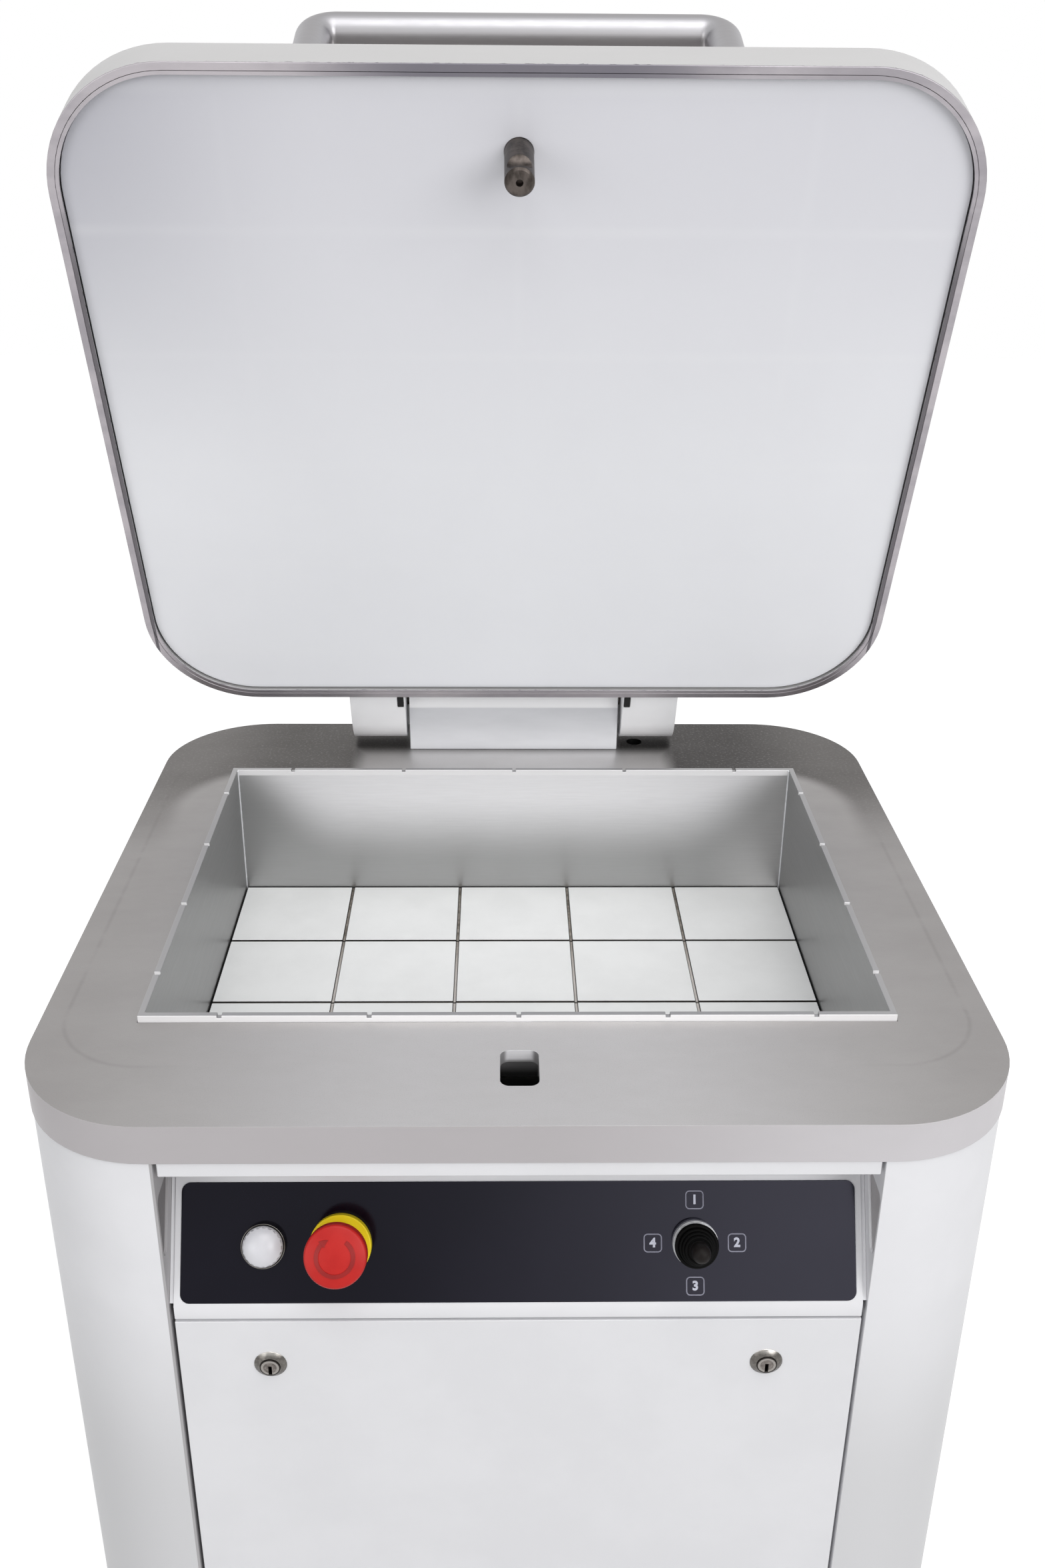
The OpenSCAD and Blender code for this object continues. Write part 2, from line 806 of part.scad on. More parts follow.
// The blades are halved into each other: the cross blades from below, the long blades from above
module knife_grid() {
    half = knife_height / 2;
    slot = knife_thickness + 2 * run_gap;
    color(steel_dark)
        union() {
            for (i = [1 : cells_across - 1])
                difference() {
                    block([i * pitch_across - pan_w / 2, 0],
                        [knife_thickness, pan_d - 2 * knife_end_gap, knife_height], knife_bottom);
                    for (j = [1 : cells_deep - 1])
                        block([i * pitch_across - pan_w / 2, j * pitch_deep - pan_d / 2],
                            [slot + 2 * cut, slot, half + cut], knife_bottom - cut);
                }
            for (j = [1 : cells_deep - 1])
                difference() {
                    block([0, j * pitch_deep - pan_d / 2],
                        [pan_w - 2 * knife_end_gap, knife_thickness, knife_height], knife_bottom);
                    for (i = [1 : cells_across - 1])
                        block([i * pitch_across - pan_w / 2, j * pitch_deep - pan_d / 2],
                            [slot, slot + 2 * cut, half + run_gap + cut], knife_top - half - run_gap);
                }
        }
}

// The round rods end below the blocks; a cross of knife thickness reaches on between the blocks
module knife_lift_rods() {
    rod_top = min(knife_bottom, block_bottom - knife_travel - pass_gap);
    cross_height = knife_bottom - rod_top + cut;
    cross_width = lift_diameter - 2 * seat_gap;
    color(bare_metal)
        for (place = lift_points) {
            translate([place[0], place[1], carrier_top])
                cylinder(d = lift_diameter, h = rod_top - carrier_top);
            block(place, [cross_width, knife_thickness, cross_height], rod_top - cut);
            block(place, [knife_thickness, cross_width, cross_height], rod_top - cut);
        }
}

module knife_carrier() {
    color(frame_grey)
        difference() {
            block([0, 0], [slide_w, carrier_d, carrier_thickness], carrier_bottom);
            for (place = guide_points)
                translate([place[0], place[1], carrier_bottom - cut])
                    cylinder(d = guide_bush, h = carrier_thickness + 2 * cut);
            translate([0, 0, carrier_bottom - cut])
                cylinder(d = main_rod_diameter + 2 * pass_gap, h = carrier_thickness + 2 * cut);
        }
}

module carrier_bushes() {
    color(bronze)
        for (place = guide_points)
            tube(place, guide_bush, guide_diameter + 2 * run_gap, carrier_bottom, carrier_thickness);
}

module knife_pistons() {
    color(bare_metal)
        for (side = [-1, 1])
            piston([side * knife_cylinder_offset, 0], knife_bore, knife_rod_diameter, carrier_bottom);
}

module guide_rods() {
    color(bare_metal)
        for (place = guide_points)
            translate([place[0], place[1], base_top])
                cylinder(d = guide_diameter, h = plate_bottom - base_top);
}

// Hydraulics and electrics on the base

main_outer = main_bore + 2 * main_wall;
knife_outer = knife_bore + 2 * knife_wall;
motor_diameter = 130;
motor_length = 140;
motor_y = 145;
motor_foot = 12;
motor_z = base_top + motor_foot + motor_diameter / 2;
motor_gap = 45;
motor_saddle = 32;
motor_end = -(main_outer / 2 + motor_gap);
pump_length = 45;
pump_side = 74;
pump_end = motor_end + pump_length;
tank_size = [170, 140, 150];
tank_x = post_x - post_side / 2 - pass_gap - tank_size[0];
tank_y = 75;
valve_size = [170, 70, 100];
valve_gap = 55;
valve_rear = -(main_outer / 2 + valve_gap);
valve_y = valve_rear - valve_size[1] / 2;
solenoid_diameter = 36;
solenoid_length = 45;
solenoid_pitch = 50;
pipe_diameter = 12;
pipe_level = base_top + valve_size[2] / 2;
pipe_bend = 24;

module main_cylinder() {
    color(frame_grey)
        cylinder_body([0, 0], main_bore, main_wall, main_rod_diameter);
}

module knife_cylinders() {
    color(frame_grey)
        for (side = [-1, 1])
            cylinder_body([side * knife_cylinder_offset, 0], knife_bore, knife_wall, knife_rod_diameter);
}

tank_cap = 40;
tank_cap_height = 10;

module oil_tank() {
    color(frame_grey)
        union() {
            translate([tank_x, tank_y, base_top])
                cube(tank_size);
            translate([tank_x + tank_size[0] / 2, tank_y + tank_size[1] / 2, base_top + tank_size[2]])
                cylinder(d = tank_cap, h = tank_cap_height);
        }
}

module pump_motor() {
    foot_length = motor_length / 2;
    color(motor_blue)
        union() {
            cross_bar([motor_end - motor_length / 2, motor_y, motor_z], motor_diameter, motor_length);
            block([motor_end - motor_length / 2, motor_y],
                [foot_length, motor_diameter, motor_foot + motor_saddle], base_top);
        }
}

module oil_pump() {
    color(steel_dark)
        block([motor_end + pump_length / 2, motor_y], [pump_length, pump_side, pump_side],
            motor_z - pump_side / 2);
}

module valve_block() {
    color(bare_metal)
        union() {
            block([0, valve_y], valve_size, base_top);
            for (side = [-1, 0, 1])
                translate([side * solenoid_pitch, valve_y, base_top + valve_size[2]])
                    cylinder(d = solenoid_diameter, h = solenoid_length);
        }
}

module pipe_back(x, y, z, length) {
    translate([x, y, z])
        rotate([-90, 0, 0])
            cylinder(d = pipe_diameter, h = length);
}

pressure_x = motor_end + pump_length / 2;
return_x = valve_size[0] / 2 - pipe_diameter;
knife_pipe_run = knife_cylinder_offset - valve_size[0] / 2 - pipe_bend;
knife_pipe_y = valve_y + pipe_bend;

module oil_pipes() {
    color(bare_metal)
        union() {
            translate([pump_end, motor_y, motor_z])
                rotate([0, 90, 0])
                    cylinder(d = pipe_diameter, h = tank_x - pump_end);
            pipe_back(0, valve_rear, pipe_level, -main_outer / 2 - valve_rear);
            pipe_back(return_x, valve_rear, pipe_level, tank_y - valve_rear);
            pipe_back(pressure_x, valve_rear, pipe_level, motor_y - pump_side / 2 - valve_rear);
            for (side = [0, 1])
                mirror([side, 0, 0]) {
                    translate([valve_size[0] / 2, valve_y, pipe_level])
                        rotate([0, 90, 0])
                            cylinder(d = pipe_diameter, h = knife_pipe_run);
                    translate([valve_size[0] / 2 + knife_pipe_run, knife_pipe_y, pipe_level])
                        rotate([0, 0, -90])
                            rotate_extrude(angle = 90)
                                translate([pipe_bend, 0])
                                    circle(d = pipe_diameter);
                    pipe_back(knife_cylinder_offset, knife_pipe_y, pipe_level,
                        -knife_outer / 2 - knife_pipe_y);
                }
        }
}

box_size = [150, 90, 260];
box_gap = 24.5;
box_x = -(front_half_width - pass_gap);
box_y = front_y + box_gap;

module control_box() {
    color(plate_grey)
        translate([box_x, box_y, base_top])
            cube(box_size);
}

// Base and stand

pallet_y = base_d / 2 - base_flange / 2;
foot_boss_wall = 7;
foot_boss = foot_screw_diameter + 2 * foot_boss_wall;
castor_width = 90;
castor_depth = 80;
castor_thickness = 6;

module base_frame() {
    color(frame_grey)
        translate([0, plate_shift, 0])
            difference() {
                union() {
                    rounded_slab(base_w, base_d, base_corner, base_top - base_sheet, base_sheet);
                    difference() {
                        rounded_slab(base_w, base_d, base_corner, base_height, base_depth);
                        rounded_slab(base_w - 2 * base_sheet, base_d - 2 * base_sheet,
                            base_corner - base_sheet, base_height + base_sheet, base_depth);
                        block([0, 0], [base_w - 2 * base_flange, base_d - 2 * base_flange, base_depth],
                            base_height - cut);
                    }
                    for (x = [-stand_x, stand_x])
                        translate([x, -stand_y, base_height])
                            cylinder(d = foot_boss, h = base_depth);
                    for (x = [-post_x, post_x], y = [-post_y, post_y])
                        difference() {
                            block([x, y], [post_side, post_side, plate_bottom - base_top], base_top);
                            block([x, y], [post_side - 2 * post_wall, post_side - 2 * post_wall,
                                plate_bottom - base_top], base_top + post_wall);
                        }
                }
                for (x = [-stand_x, stand_x])
                    translate([x, -stand_y, base_height - cut])
                        cylinder(d = foot_screw_diameter + 2 * run_gap, h = base_depth - base_sheet + cut);
                for (x = [-pallet_spread / 2, pallet_spread / 2], y = [-pallet_y, pallet_y])
                    translate([x, y, base_height - cut])
                        cylinder(d = pallet_hole, h = base_sheet + 2 * cut);
            }
}

foot_thickness = 12;
foot_nut = 10;

module levelling_feet() {
    color(steel_dark)
        for (x = [-stand_x, stand_x])
            translate([x, plate_shift - stand_y, 0])
                union() {
                    cylinder(d = foot_diameter, h = foot_thickness);
                    cylinder(d = foot_screw_diameter, h = base_top - base_sheet - pass_gap);
                    translate([0, 0, base_height - foot_nut])
                        cylinder(d = foot_screw_diameter + foot_nut, h = foot_nut, $fn = 6);
                }
}

fork_wall = 5;
fork_gap = 2;
fork_length = 46;
fork_inner = wheel_width + 2 * fork_gap;
axle_z = wheel_diameter / 2;
axle_head = 4;

module castor_forks() {
    fork_top = base_height - castor_thickness;
    color(steel_dark)
        for (x = [-stand_x, stand_x])
            translate([x, plate_shift + stand_y, 0])
                union() {
                    block([0, 0], [castor_width, castor_depth, castor_thickness], fork_top);
                    difference() {
                        for (side = [-1, 1])
                            translate([side * (fork_inner + fork_wall) / 2, 0, 0])
                                union() {
                                    block([0, 0], [fork_wall, fork_length, fork_top - axle_z], axle_z);
                                    cross_bar([0, 0, axle_z], fork_length, fork_wall);
                                }
                        cross_bar([0, 0, axle_z], axle_diameter, fork_inner + 4 * fork_wall);
                    }
                    cross_bar([0, 0, axle_z], axle_diameter, fork_inner + 2 * fork_wall + 2 * axle_head);
                }
}

tyre_thickness = 14;

module castor_wheel(side) {
    hub_length = wheel_width + 2 * fork_gap - 2 * seat_gap;
    color(rubber_black)
        translate([side * stand_x, plate_shift + stand_y, axle_z])
            rotate([0, 90, 0])
                difference() {
                    union() {
                        cylinder(d = wheel_diameter, h = wheel_width, center = true);
                        cylinder(d = axle_diameter + tyre_thickness, h = hub_length, center = true);
                    }
                    cylinder(d = axle_diameter + 2 * run_gap, h = wheel_width * 2, center = true);
                }
}

module castor_wheel_left() {
    castor_wheel(-1);
}

module castor_wheel_right() {
    castor_wheel(1);
}

// Covers

cover_height = plate_bottom - cover_bottom;
window_radius = 5;
window_edge = 9;
window_lip = 1;
window_drop = 20;

// Window in the front fold, with its back edge along the console's slope
module fold_window() {
    front_gap = sheet + window_lip + window_radius;
    front = front_y + front_gap;
    top = plate_bottom - header_height - window_drop - window_radius;
    back_shift = (window_edge + window_radius) / cos(console_tilt);
    low = console_lip_top + (front_gap + back_shift) / tan(console_tilt);
    back = front_y + (top - console_lip_top) * tan(console_tilt) - back_shift;
    hull()
        for (corner = [[front, low], [front, top], [back, top]])
            translate(corner)
                circle(window_radius, $fn = 32);
}

// Side cover on the right: an outer sheet round both corners, with a folded edge front and back
module side_cover() {
    fold_height = plate_bottom - fold_bottom;
    difference() {
        union() {
            intersection() {
                translate([0, plate_shift, 0])
                    difference() {
                        rounded_slab(cover_w, cover_d, cover_corner, cover_bottom, cover_height);
                        rounded_slab(cover_w - 2 * sheet, cover_d - 2 * sheet, cover_corner - sheet,
                            cover_bottom - cut, cover_height + 2 * cut);
                    }
                translate([front_half_width, front_y, cover_bottom])
                    cube([plate_width, cover_d, cover_height]);
            }
            translate([front_half_width, front_y, fold_bottom])
                cube([sheet, return_depth, fold_height]);
            translate([front_half_width, rear_y - return_depth, fold_bottom])
                cube([sheet, return_depth, fold_height]);
        }
        translate([front_half_width - cut, 0, 0])
            rotate([90, 0, 90])
                linear_extrude(sheet + 2 * cut)
                    fold_window();
    }
}

module side_cover_right() {
    color(paint_white)
        side_cover();
}

module side_cover_left() {
    color(paint_white)
        mirror([1, 0, 0])
            side_cover();
}

module header_rail() {
    color(paint_white)
        translate([-front_half_gap, front_y, plate_bottom - header_height])
            difference() {
                cube([2 * front_half_gap, fold_depth, header_height]);
                translate([-cut, sheet, sheet])
                    cube([2 * front_half_gap + 2 * cut, fold_depth, header_height - 2 * sheet]);
                translate([front_half_gap - latch_room / 2, sheet, -cut])
                    cube([latch_room, fold_depth, header_height + 2 * cut]);
            }
}

module front_panel() {
    height = panel_top - panel_bottom;
    color(paint_white)
        difference() {
            union() {
                translate([-front_half_gap, front_y, panel_bottom])
                    cube([2 * front_half_gap, sheet, height]);
                for (x = [-front_half_gap, front_half_gap - sheet])
                    translate([x, front_y, fold_bottom])
                        cube([sheet, fold_depth, panel_top - fold_bottom]);
                translate([-front_half_gap, front_y, panel_top - sheet])
                    cube([2 * front_half_gap, fold_depth, sheet]);
            }
            for (side = [-1, 1])
                on_panel(side * lock_offset, lock_z)
                    cylinder(d = lock_diameter - 2 * sheet, h = 2 * sheet + 2 * cut, center = true);
        }
}

vent_width = 90;
vent_height = 5;
vent_pitch = 14;
vent_rows = 10;
vent_rise = 60;
vent_bottom = base_top + vent_rise;
inlet_rise = 40;
inlet_z = base_top + inlet_rise;
inlet_edge = 62.5;
inlet_x = front_half_gap - inlet_edge;
inlet_diameter = 26;
inlet_bore = 12;
inlet_reach = 14;

module rear_panel() {
    height = plate_bottom - panel_bottom;
    color(paint_white)
        difference() {
            union() {
                translate([-front_half_gap, rear_y - sheet, panel_bottom])
                    cube([2 * front_half_gap, sheet, height]);
                for (x = [-front_half_gap, front_half_gap - sheet])
                    translate([x, rear_y - fold_depth, fold_bottom])
                        cube([sheet, fold_depth, plate_bottom - fold_bottom]);
            }
            for (side = [-1, 1], row = [0 : vent_rows - 1])
                block([side * front_half_gap / 2, rear_y], [vent_width, 2 * sheet + 2 * cut, vent_height],
                    vent_bottom + row * vent_pitch);
            translate([inlet_x, rear_y + cut, inlet_z])
                rotate([90, 0, 0])
                    cylinder(d = inlet_diameter - 2 * sheet, h = sheet + 2 * cut);
        }
}

module power_inlet() {
    color(rubber_black)
        translate([inlet_x, rear_y, inlet_z])
            rotate([90, 0, 0])
                difference() {
                    union() {
                        translate([0, 0, -pass_gap])
                            cylinder(d = inlet_diameter, h = pass_gap);
                        cylinder(d = inlet_diameter - 2 * sheet - 2 * run_gap, h = inlet_reach);
                    }
                    translate([0, 0, -pass_gap - cut])
                        cylinder(d = inlet_bore, h = inlet_reach + pass_gap + 2 * cut);
                }
}

screw_diameter = 11;
screw_height = 3;
screw_inset = 12;
screw_shares = [0.05, 0.35, 0.65, 0.95];

module panel_screws() {
    height = plate_bottom - panel_bottom;
    color(bare_metal)
        for (side = [-1, 1], share = screw_shares)
            translate([side * (front_half_gap - screw_inset), rear_y, panel_bottom + height * share])
                rotate([-90, 0, 0])
                    difference() {
                        cylinder(d = screw_diameter, h = screw_height);
                        translate([0, 0, screw_height / 2])
                            cylinder(d = screw_diameter / 2, h = screw_height, $fn = 6);
                    }
}

// Console seen from the side: lip, sloped face, upright back, and the catch for the locks
module console_side() {
    bend = sheet * tan(console_tilt / 2);
    catch_rear = front_y + catch_depth;
    catch_bottom = console_bottom - catch_drop;
    polygon([
        [front_y, console_bottom],
        [front_y, console_lip_top],
        [slope_end_y, slope_end_z],
        [slope_end_y, plate_bottom],
        [slope_end_y + sheet, plate_bottom],
        [slope_end_y + sheet, slope_end_z - bend],
        [front_y + sheet, console_lip_top - bend],
        [front_y + sheet, console_bottom + sheet],
        [catch_rear, console_bottom + sheet],
        [catch_rear, catch_bottom],
        [catch_rear - sheet, catch_bottom],
        [catch_rear - sheet, console_bottom]
    ]);
}

module control_console() {
    notch_bottom = latch_bottom - pass_gap;
    color(paint_white)
        difference() {
            rotate([90, 0, 90])
                linear_extrude(2 * console_half, center = true)
                    console_side();
            for (x = [button_place, stop_place, joystick_place])
                on_slope(x, control_rise)
                    translate([0, 0, -2 * sheet])
                        cylinder(d = control_hole, h = 2 * sheet + cut);
            translate([-latch_room / 2, slope_end_y - cut, notch_bottom])
                cube([latch_room, sheet + 2 * cut, plate_bottom - notch_bottom + cut]);
        }
}

module console_label() {
    color(label_black)
        difference() {
            on_slope(0, label_rise + label_height / 2)
                linear_extrude(label_thickness)
                    rounded_outline(label_width, label_height, label_corner);
            for (x = [button_place, stop_place, joystick_place])
                on_slope(x, control_rise)
                    translate([0, 0, -cut])
                        cylinder(d = control_hole, h = label_thickness + 2 * cut);
        }
}

// Start button

bezel_height = 6;
button_gap = 0.5;
button_dome = 18;
button_stem = 16;

module button_bezel() {
    color(bare_metal)
        on_slope(button_place, control_rise)
            difference() {
                union() {
                    translate([0, 0, label_thickness])
                        cylinder(d = button_bezel_diameter, h = bezel_height - label_thickness);
                    translate([0, 0, -control_reach])
                        cylinder(d = control_body, h = control_reach + label_thickness);
                }
                translate([0, 0, label_thickness + run_gap])
                    cylinder(d = button_cap_diameter + 2 * button_gap, h = bezel_height);
                translate([0, 0, -control_reach + sheet])
                    cylinder(d = button_stem + 2 * run_gap, h = control_reach + cut);
            }
}

module start_button() {
    cap_bottom = label_thickness + button_travel + button_gap;
    cap_top = cap_bottom + button_cap_height;
    stem_length = control_reach - sheet - button_travel - button_gap;
    color(block_white)
        on_slope(button_place, control_rise)
            union() {
                intersection() {
                    translate([0, 0, cap_bottom])
                        cylinder(d = button_cap_diameter, h = button_cap_height);
                    translate([0, 0, cap_top - button_dome])
                        sphere(button_dome);
                }
                translate([0, 0, -stem_length])
                    cylinder(d = button_stem, h = stem_length + cap_bottom + cut);
            }
}

// Stop button

stop_stem = 15;
stop_neck = 26;
stop_head_depth = 26;
stop_edge = 12;
stop_seat = 8;
stop_dome = 70;

module stop_collar() {
    color(stop_yellow)
        on_slope(stop_place, control_rise)
            difference() {
                union() {
                    translate([0, 0, label_thickness])
                        cylinder(d = stop_collar_diameter, h = stop_collar_height - label_thickness);
                    translate([0, 0, -control_reach])
                        cylinder(d = control_body, h = control_reach + label_thickness);
                }
                translate([0, 0, -control_reach + sheet])
                    cylinder(d = stop_stem + 2 * run_gap, h = control_reach + stop_collar_height);
            }
}

module stop_plunger() {
    stem_length = control_reach - sheet - stop_travel - seat_gap;
    color(rubber_black)
        on_slope(stop_place, control_rise)
            translate([0, 0, -stem_length])
                cylinder(d = stop_stem, h = stem_length + stop_height - stop_head_depth + stop_seat);
}

module stop_head() {
    head_bottom = stop_height - stop_head_depth;
    color(stop_red)
        on_slope(stop_place, control_rise)
            difference() {
                union() {
                    translate([0, 0, head_bottom])
                        cylinder(d1 = stop_neck, d2 = stop_head_diameter, h = stop_head_depth - stop_edge);
                    intersection() {
                        translate([0, 0, stop_height - stop_edge])
                            cylinder(d = stop_head_diameter, h = stop_edge);
                        translate([0, 0, stop_height - stop_dome])
                            sphere(stop_dome);
                    }
                }
                translate([0, 0, head_bottom - cut])
                    cylinder(d = stop_stem + 2 * run_gap, h = stop_seat + run_gap + cut);
            }
}

// Joystick: a lever in a gimbal, and a gaiter with a dome round the pivot and ribs above the ring

ring_height = 5;
ring_wall = 1.4;
joystick_pivot = 4;
gaiter_dome = 13.2;
gaiter_cut = 4;
gaiter_waist = 8;
gaiter_spread = 12;
gaiter_neck = 6.5;
gaiter_rise = 9.6;
gaiter_ribs = 4;
rib_diameter = 2.4;
lever_diameter = 8;
knob_diameter = 12;
knob_length = 14;
lever_tail = 12;
gimbal_outer = 17;
gimbal_inner = 11;
gimbal_height = 5;
housing_wall = 1.8;
cross_pin = 2.8;

module joystick_ring() {
    ring_bore = joystick_ring_diameter - 2 * ring_wall;
    housing_bore = control_body - 2 * housing_wall;
    color(bare_metal)
        on_slope(joystick_place, control_rise)
            difference() {
                union() {
                    translate([0, 0, label_thickness])
                        cylinder(d = joystick_ring_diameter, h = ring_height - label_thickness);
                    translate([0, 0, -control_reach])
                        cylinder(d = control_body, h = control_reach + label_thickness);
                }
                translate([0, 0, label_thickness + run_gap])
                    cylinder(d = ring_bore, h = ring_height);
                translate([0, 0, -control_reach + sheet])
                    cylinder(d = housing_bore, h = control_reach + cut);
                cross_bar([0, 0, -joystick_pivot], cross_pin + 2 * run_gap, control_body + 2 * cut);
            }
}

module joystick_gimbal() {
    color(steel_dark)
        on_slope(joystick_place, control_rise)
            translate([0, 0, -joystick_pivot])
                difference() {
                    union() {
                        cylinder(d = gimbal_outer, h = gimbal_height, center = true);
                        cross_bar([0, 0, 0], cross_pin, control_body);
                    }
                    cylinder(d = gimbal_inner, h = gimbal_height + 2 * cut, center = true);
                    rotate([90, 0, 0])
                        cylinder(d = cross_pin + 2 * run_gap, h = gimbal_outer + 2 * cut, center = true);
                }
}

module joystick_lever() {
    knob_bottom = joystick_height - knob_length;
    color(rubber_black)
        on_slope(joystick_place, control_rise)
            union() {
                translate([0, 0, -joystick_pivot - lever_tail])
                    cylinder(d = lever_diameter, h = lever_tail + joystick_pivot + knob_bottom);
                translate([0, 0, knob_bottom])
                    cylinder(d = knob_diameter, h = knob_length - knob_diameter / 2);
                translate([0, 0, joystick_height - knob_diameter / 2])
                    sphere(d = knob_diameter);
                translate([0, 0, -joystick_pivot])
                    rotate([90, 0, 0])
                        cylinder(d = cross_pin, h = gimbal_outer, center = true);
            }
}

module joystick_gaiter() {
    gaiter_top = joystick_height - knob_length;
    cone_height = gaiter_top - gaiter_rise;
    rib_pitch = cone_height / gaiter_ribs;
    rib_step = (gaiter_spread - gaiter_neck) / gaiter_ribs;
    color(rubber_black)
        on_slope(joystick_place, control_rise)
            difference() {
                union() {
                    difference() {
                        translate([0, 0, -joystick_pivot])
                            sphere(gaiter_dome);
                        translate([0, 0, gaiter_cut - 2 * gaiter_dome])
                            cylinder(r = 2 * gaiter_dome, h = 2 * gaiter_dome);
                    }
                    translate([0, 0, gaiter_cut])
                        cylinder(r = gaiter_waist, h = gaiter_rise + cut - gaiter_cut);
                    translate([0, 0, gaiter_rise])
                        cylinder(r1 = gaiter_spread, r2 = gaiter_neck, h = cone_height);
                    for (rib = [0 : gaiter_ribs - 1])
                        translate([0, 0, gaiter_rise + rib_diameter / 2 + rib * rib_pitch])
                            rotate_extrude()
                                translate([gaiter_spread - rib * rib_step, 0])
                                    circle(d = rib_diameter);
                }
                translate([0, 0, -gaiter_dome])
                    cylinder(d = lever_diameter + 2 * run_gap, h = 2 * gaiter_dome + gaiter_top);
            }
}

// Locks

module lock_housings() {
    color(bare_metal)
        for (side = [-1, 1])
            on_panel(side * lock_offset, lock_z)
                difference() {
                    union() {
                        intersection() {
                            cylinder(d = lock_diameter, h = lock_dome);
                            translate([0, 0, lock_dome - lock_diameter * lock_dome_share])
                                sphere(lock_diameter * lock_dome_share);
                        }
                        translate([0, 0, -lock_body_length])
                            cylinder(d = lock_diameter - 2 * sheet - 2 * run_gap, h = lock_body_length);
                    }
                    translate([0, 0, -lock_body_length - cut])
                        cylinder(d = plug_diameter + 2 * run_gap, h = lock_body_length + lock_dome + 2 * cut);
                }
}

plug_sunk = 0.8;
keyway = [2.2, 7, 9];

module lock_plug(side) {
    plug_back = lock_body_length + cam_thickness + seat_gap;
    plug_front = lock_dome - plug_sunk;
    color(steel_dark)
        on_panel(side * lock_offset, lock_z)
            difference() {
                union() {
                    translate([0, 0, -plug_back])
                        cylinder(d = plug_diameter, h = plug_back + plug_front);
                    translate([-cam_width / 2, 0, -plug_back])
                        cube([cam_width, cam_length, cam_thickness]);
                }
                translate([-keyway[0] / 2, -keyway[1] + keyway[0] / 2, plug_front - keyway[2]])
                    cube([keyway[0], keyway[1], keyway[2] + cut]);
            }
}

module lock_plug_left() {
    lock_plug(-1);
}

module lock_plug_right() {
    lock_plug(1);
}

base_frame();
side_cover_left();
side_cover_right();
rear_panel();
front_panel();
header_rail();
control_console();
console_label();
top_plate();
pan();
guide_rods();
main_cylinder();
knife_cylinders();
oil_tank();
pump_motor();
oil_pump();
valve_block();
oil_pipes();
control_box();
latch_housing();
lid_sensor();
hinge_block();
hinge_spring();
button_bezel();
stop_collar();
joystick_ring();
lock_housings();
power_inlet();
levelling_feet();
castor_forks();
panel_screws();
lid_shell();
lid_press_plate();
lid_pin();
lid_handle();
hinge_arms();
hinge_shaft();
hinge_plugs();
arm_screws();
press_blocks();
block_stems();
press_platform();
platform_bushes();
main_piston();
knife_grid();
knife_lift_rods();
knife_carrier();
carrier_bushes();
knife_pistons();
latch_bolt();
start_button();
stop_plunger();
stop_head();
joystick_gimbal();
joystick_lever();
joystick_gaiter();
lock_plug_left();
lock_plug_right();
castor_wheel_left();
castor_wheel_right();
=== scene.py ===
import json
import math

import bmesh
import bpy
from mathutils import Matrix, Vector


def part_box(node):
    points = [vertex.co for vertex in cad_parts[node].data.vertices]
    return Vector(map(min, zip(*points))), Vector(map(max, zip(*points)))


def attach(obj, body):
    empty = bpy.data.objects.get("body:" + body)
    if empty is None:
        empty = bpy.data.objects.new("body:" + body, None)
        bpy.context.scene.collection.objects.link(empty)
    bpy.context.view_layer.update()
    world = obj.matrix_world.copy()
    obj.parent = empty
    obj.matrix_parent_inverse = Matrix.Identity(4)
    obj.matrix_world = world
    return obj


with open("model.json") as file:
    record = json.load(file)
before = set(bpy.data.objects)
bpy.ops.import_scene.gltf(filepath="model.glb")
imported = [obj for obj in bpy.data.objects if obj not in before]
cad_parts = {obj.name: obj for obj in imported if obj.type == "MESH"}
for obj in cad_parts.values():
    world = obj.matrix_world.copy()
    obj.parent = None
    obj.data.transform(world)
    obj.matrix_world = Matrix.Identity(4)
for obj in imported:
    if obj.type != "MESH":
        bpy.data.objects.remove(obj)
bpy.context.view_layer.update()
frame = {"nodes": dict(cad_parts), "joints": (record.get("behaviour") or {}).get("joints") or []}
nodes = frame["nodes"]
joints = {joint["name"]: joint for joint in frame["joints"]}
scene = bpy.context.scene
print("frame loaded with", len(nodes), "pieces")


# Camera where the photograph was taken from

cameraView = {
    "place": (-0.01237, -1.04311, 1.47083),
    "pitchDown": 25.094,
    "yaw": 0.931,
    "roll": 0.4166,
    "lens": 34.49,
    "sensor": 36.0,   # along the long side of the picture
}


def addObject(name, data):
    item = bpy.data.objects.new(name, data)
    scene.collection.objects.link(item)
    return item


def makeCamera(view):
    pitch, yaw, roll = (math.radians(view[key]) for key in ("pitchDown", "yaw", "roll"))
    forward = Vector((math.sin(yaw) * math.cos(pitch), math.cos(yaw) * math.cos(pitch), -math.sin(pitch)))
    level = Vector((math.cos(yaw), -math.sin(yaw), 0))
    above = level.cross(forward)
    right = level * math.cos(roll) + above * math.sin(roll)
    up = above * math.cos(roll) - level * math.sin(roll)
    data = bpy.data.cameras.new("photoCamera")
    data.lens = view["lens"]
    data.sensor_width = view["sensor"]
    camera = addObject("photoCamera", data)
    turn = Matrix((right, up, -forward)).transposed().to_4x4()
    camera.matrix_world = Matrix.Translation(view["place"]) @ turn
    scene.camera = camera


makeCamera(cameraView)
print("camera set")


# Places and directions on the lid and on the console's slope

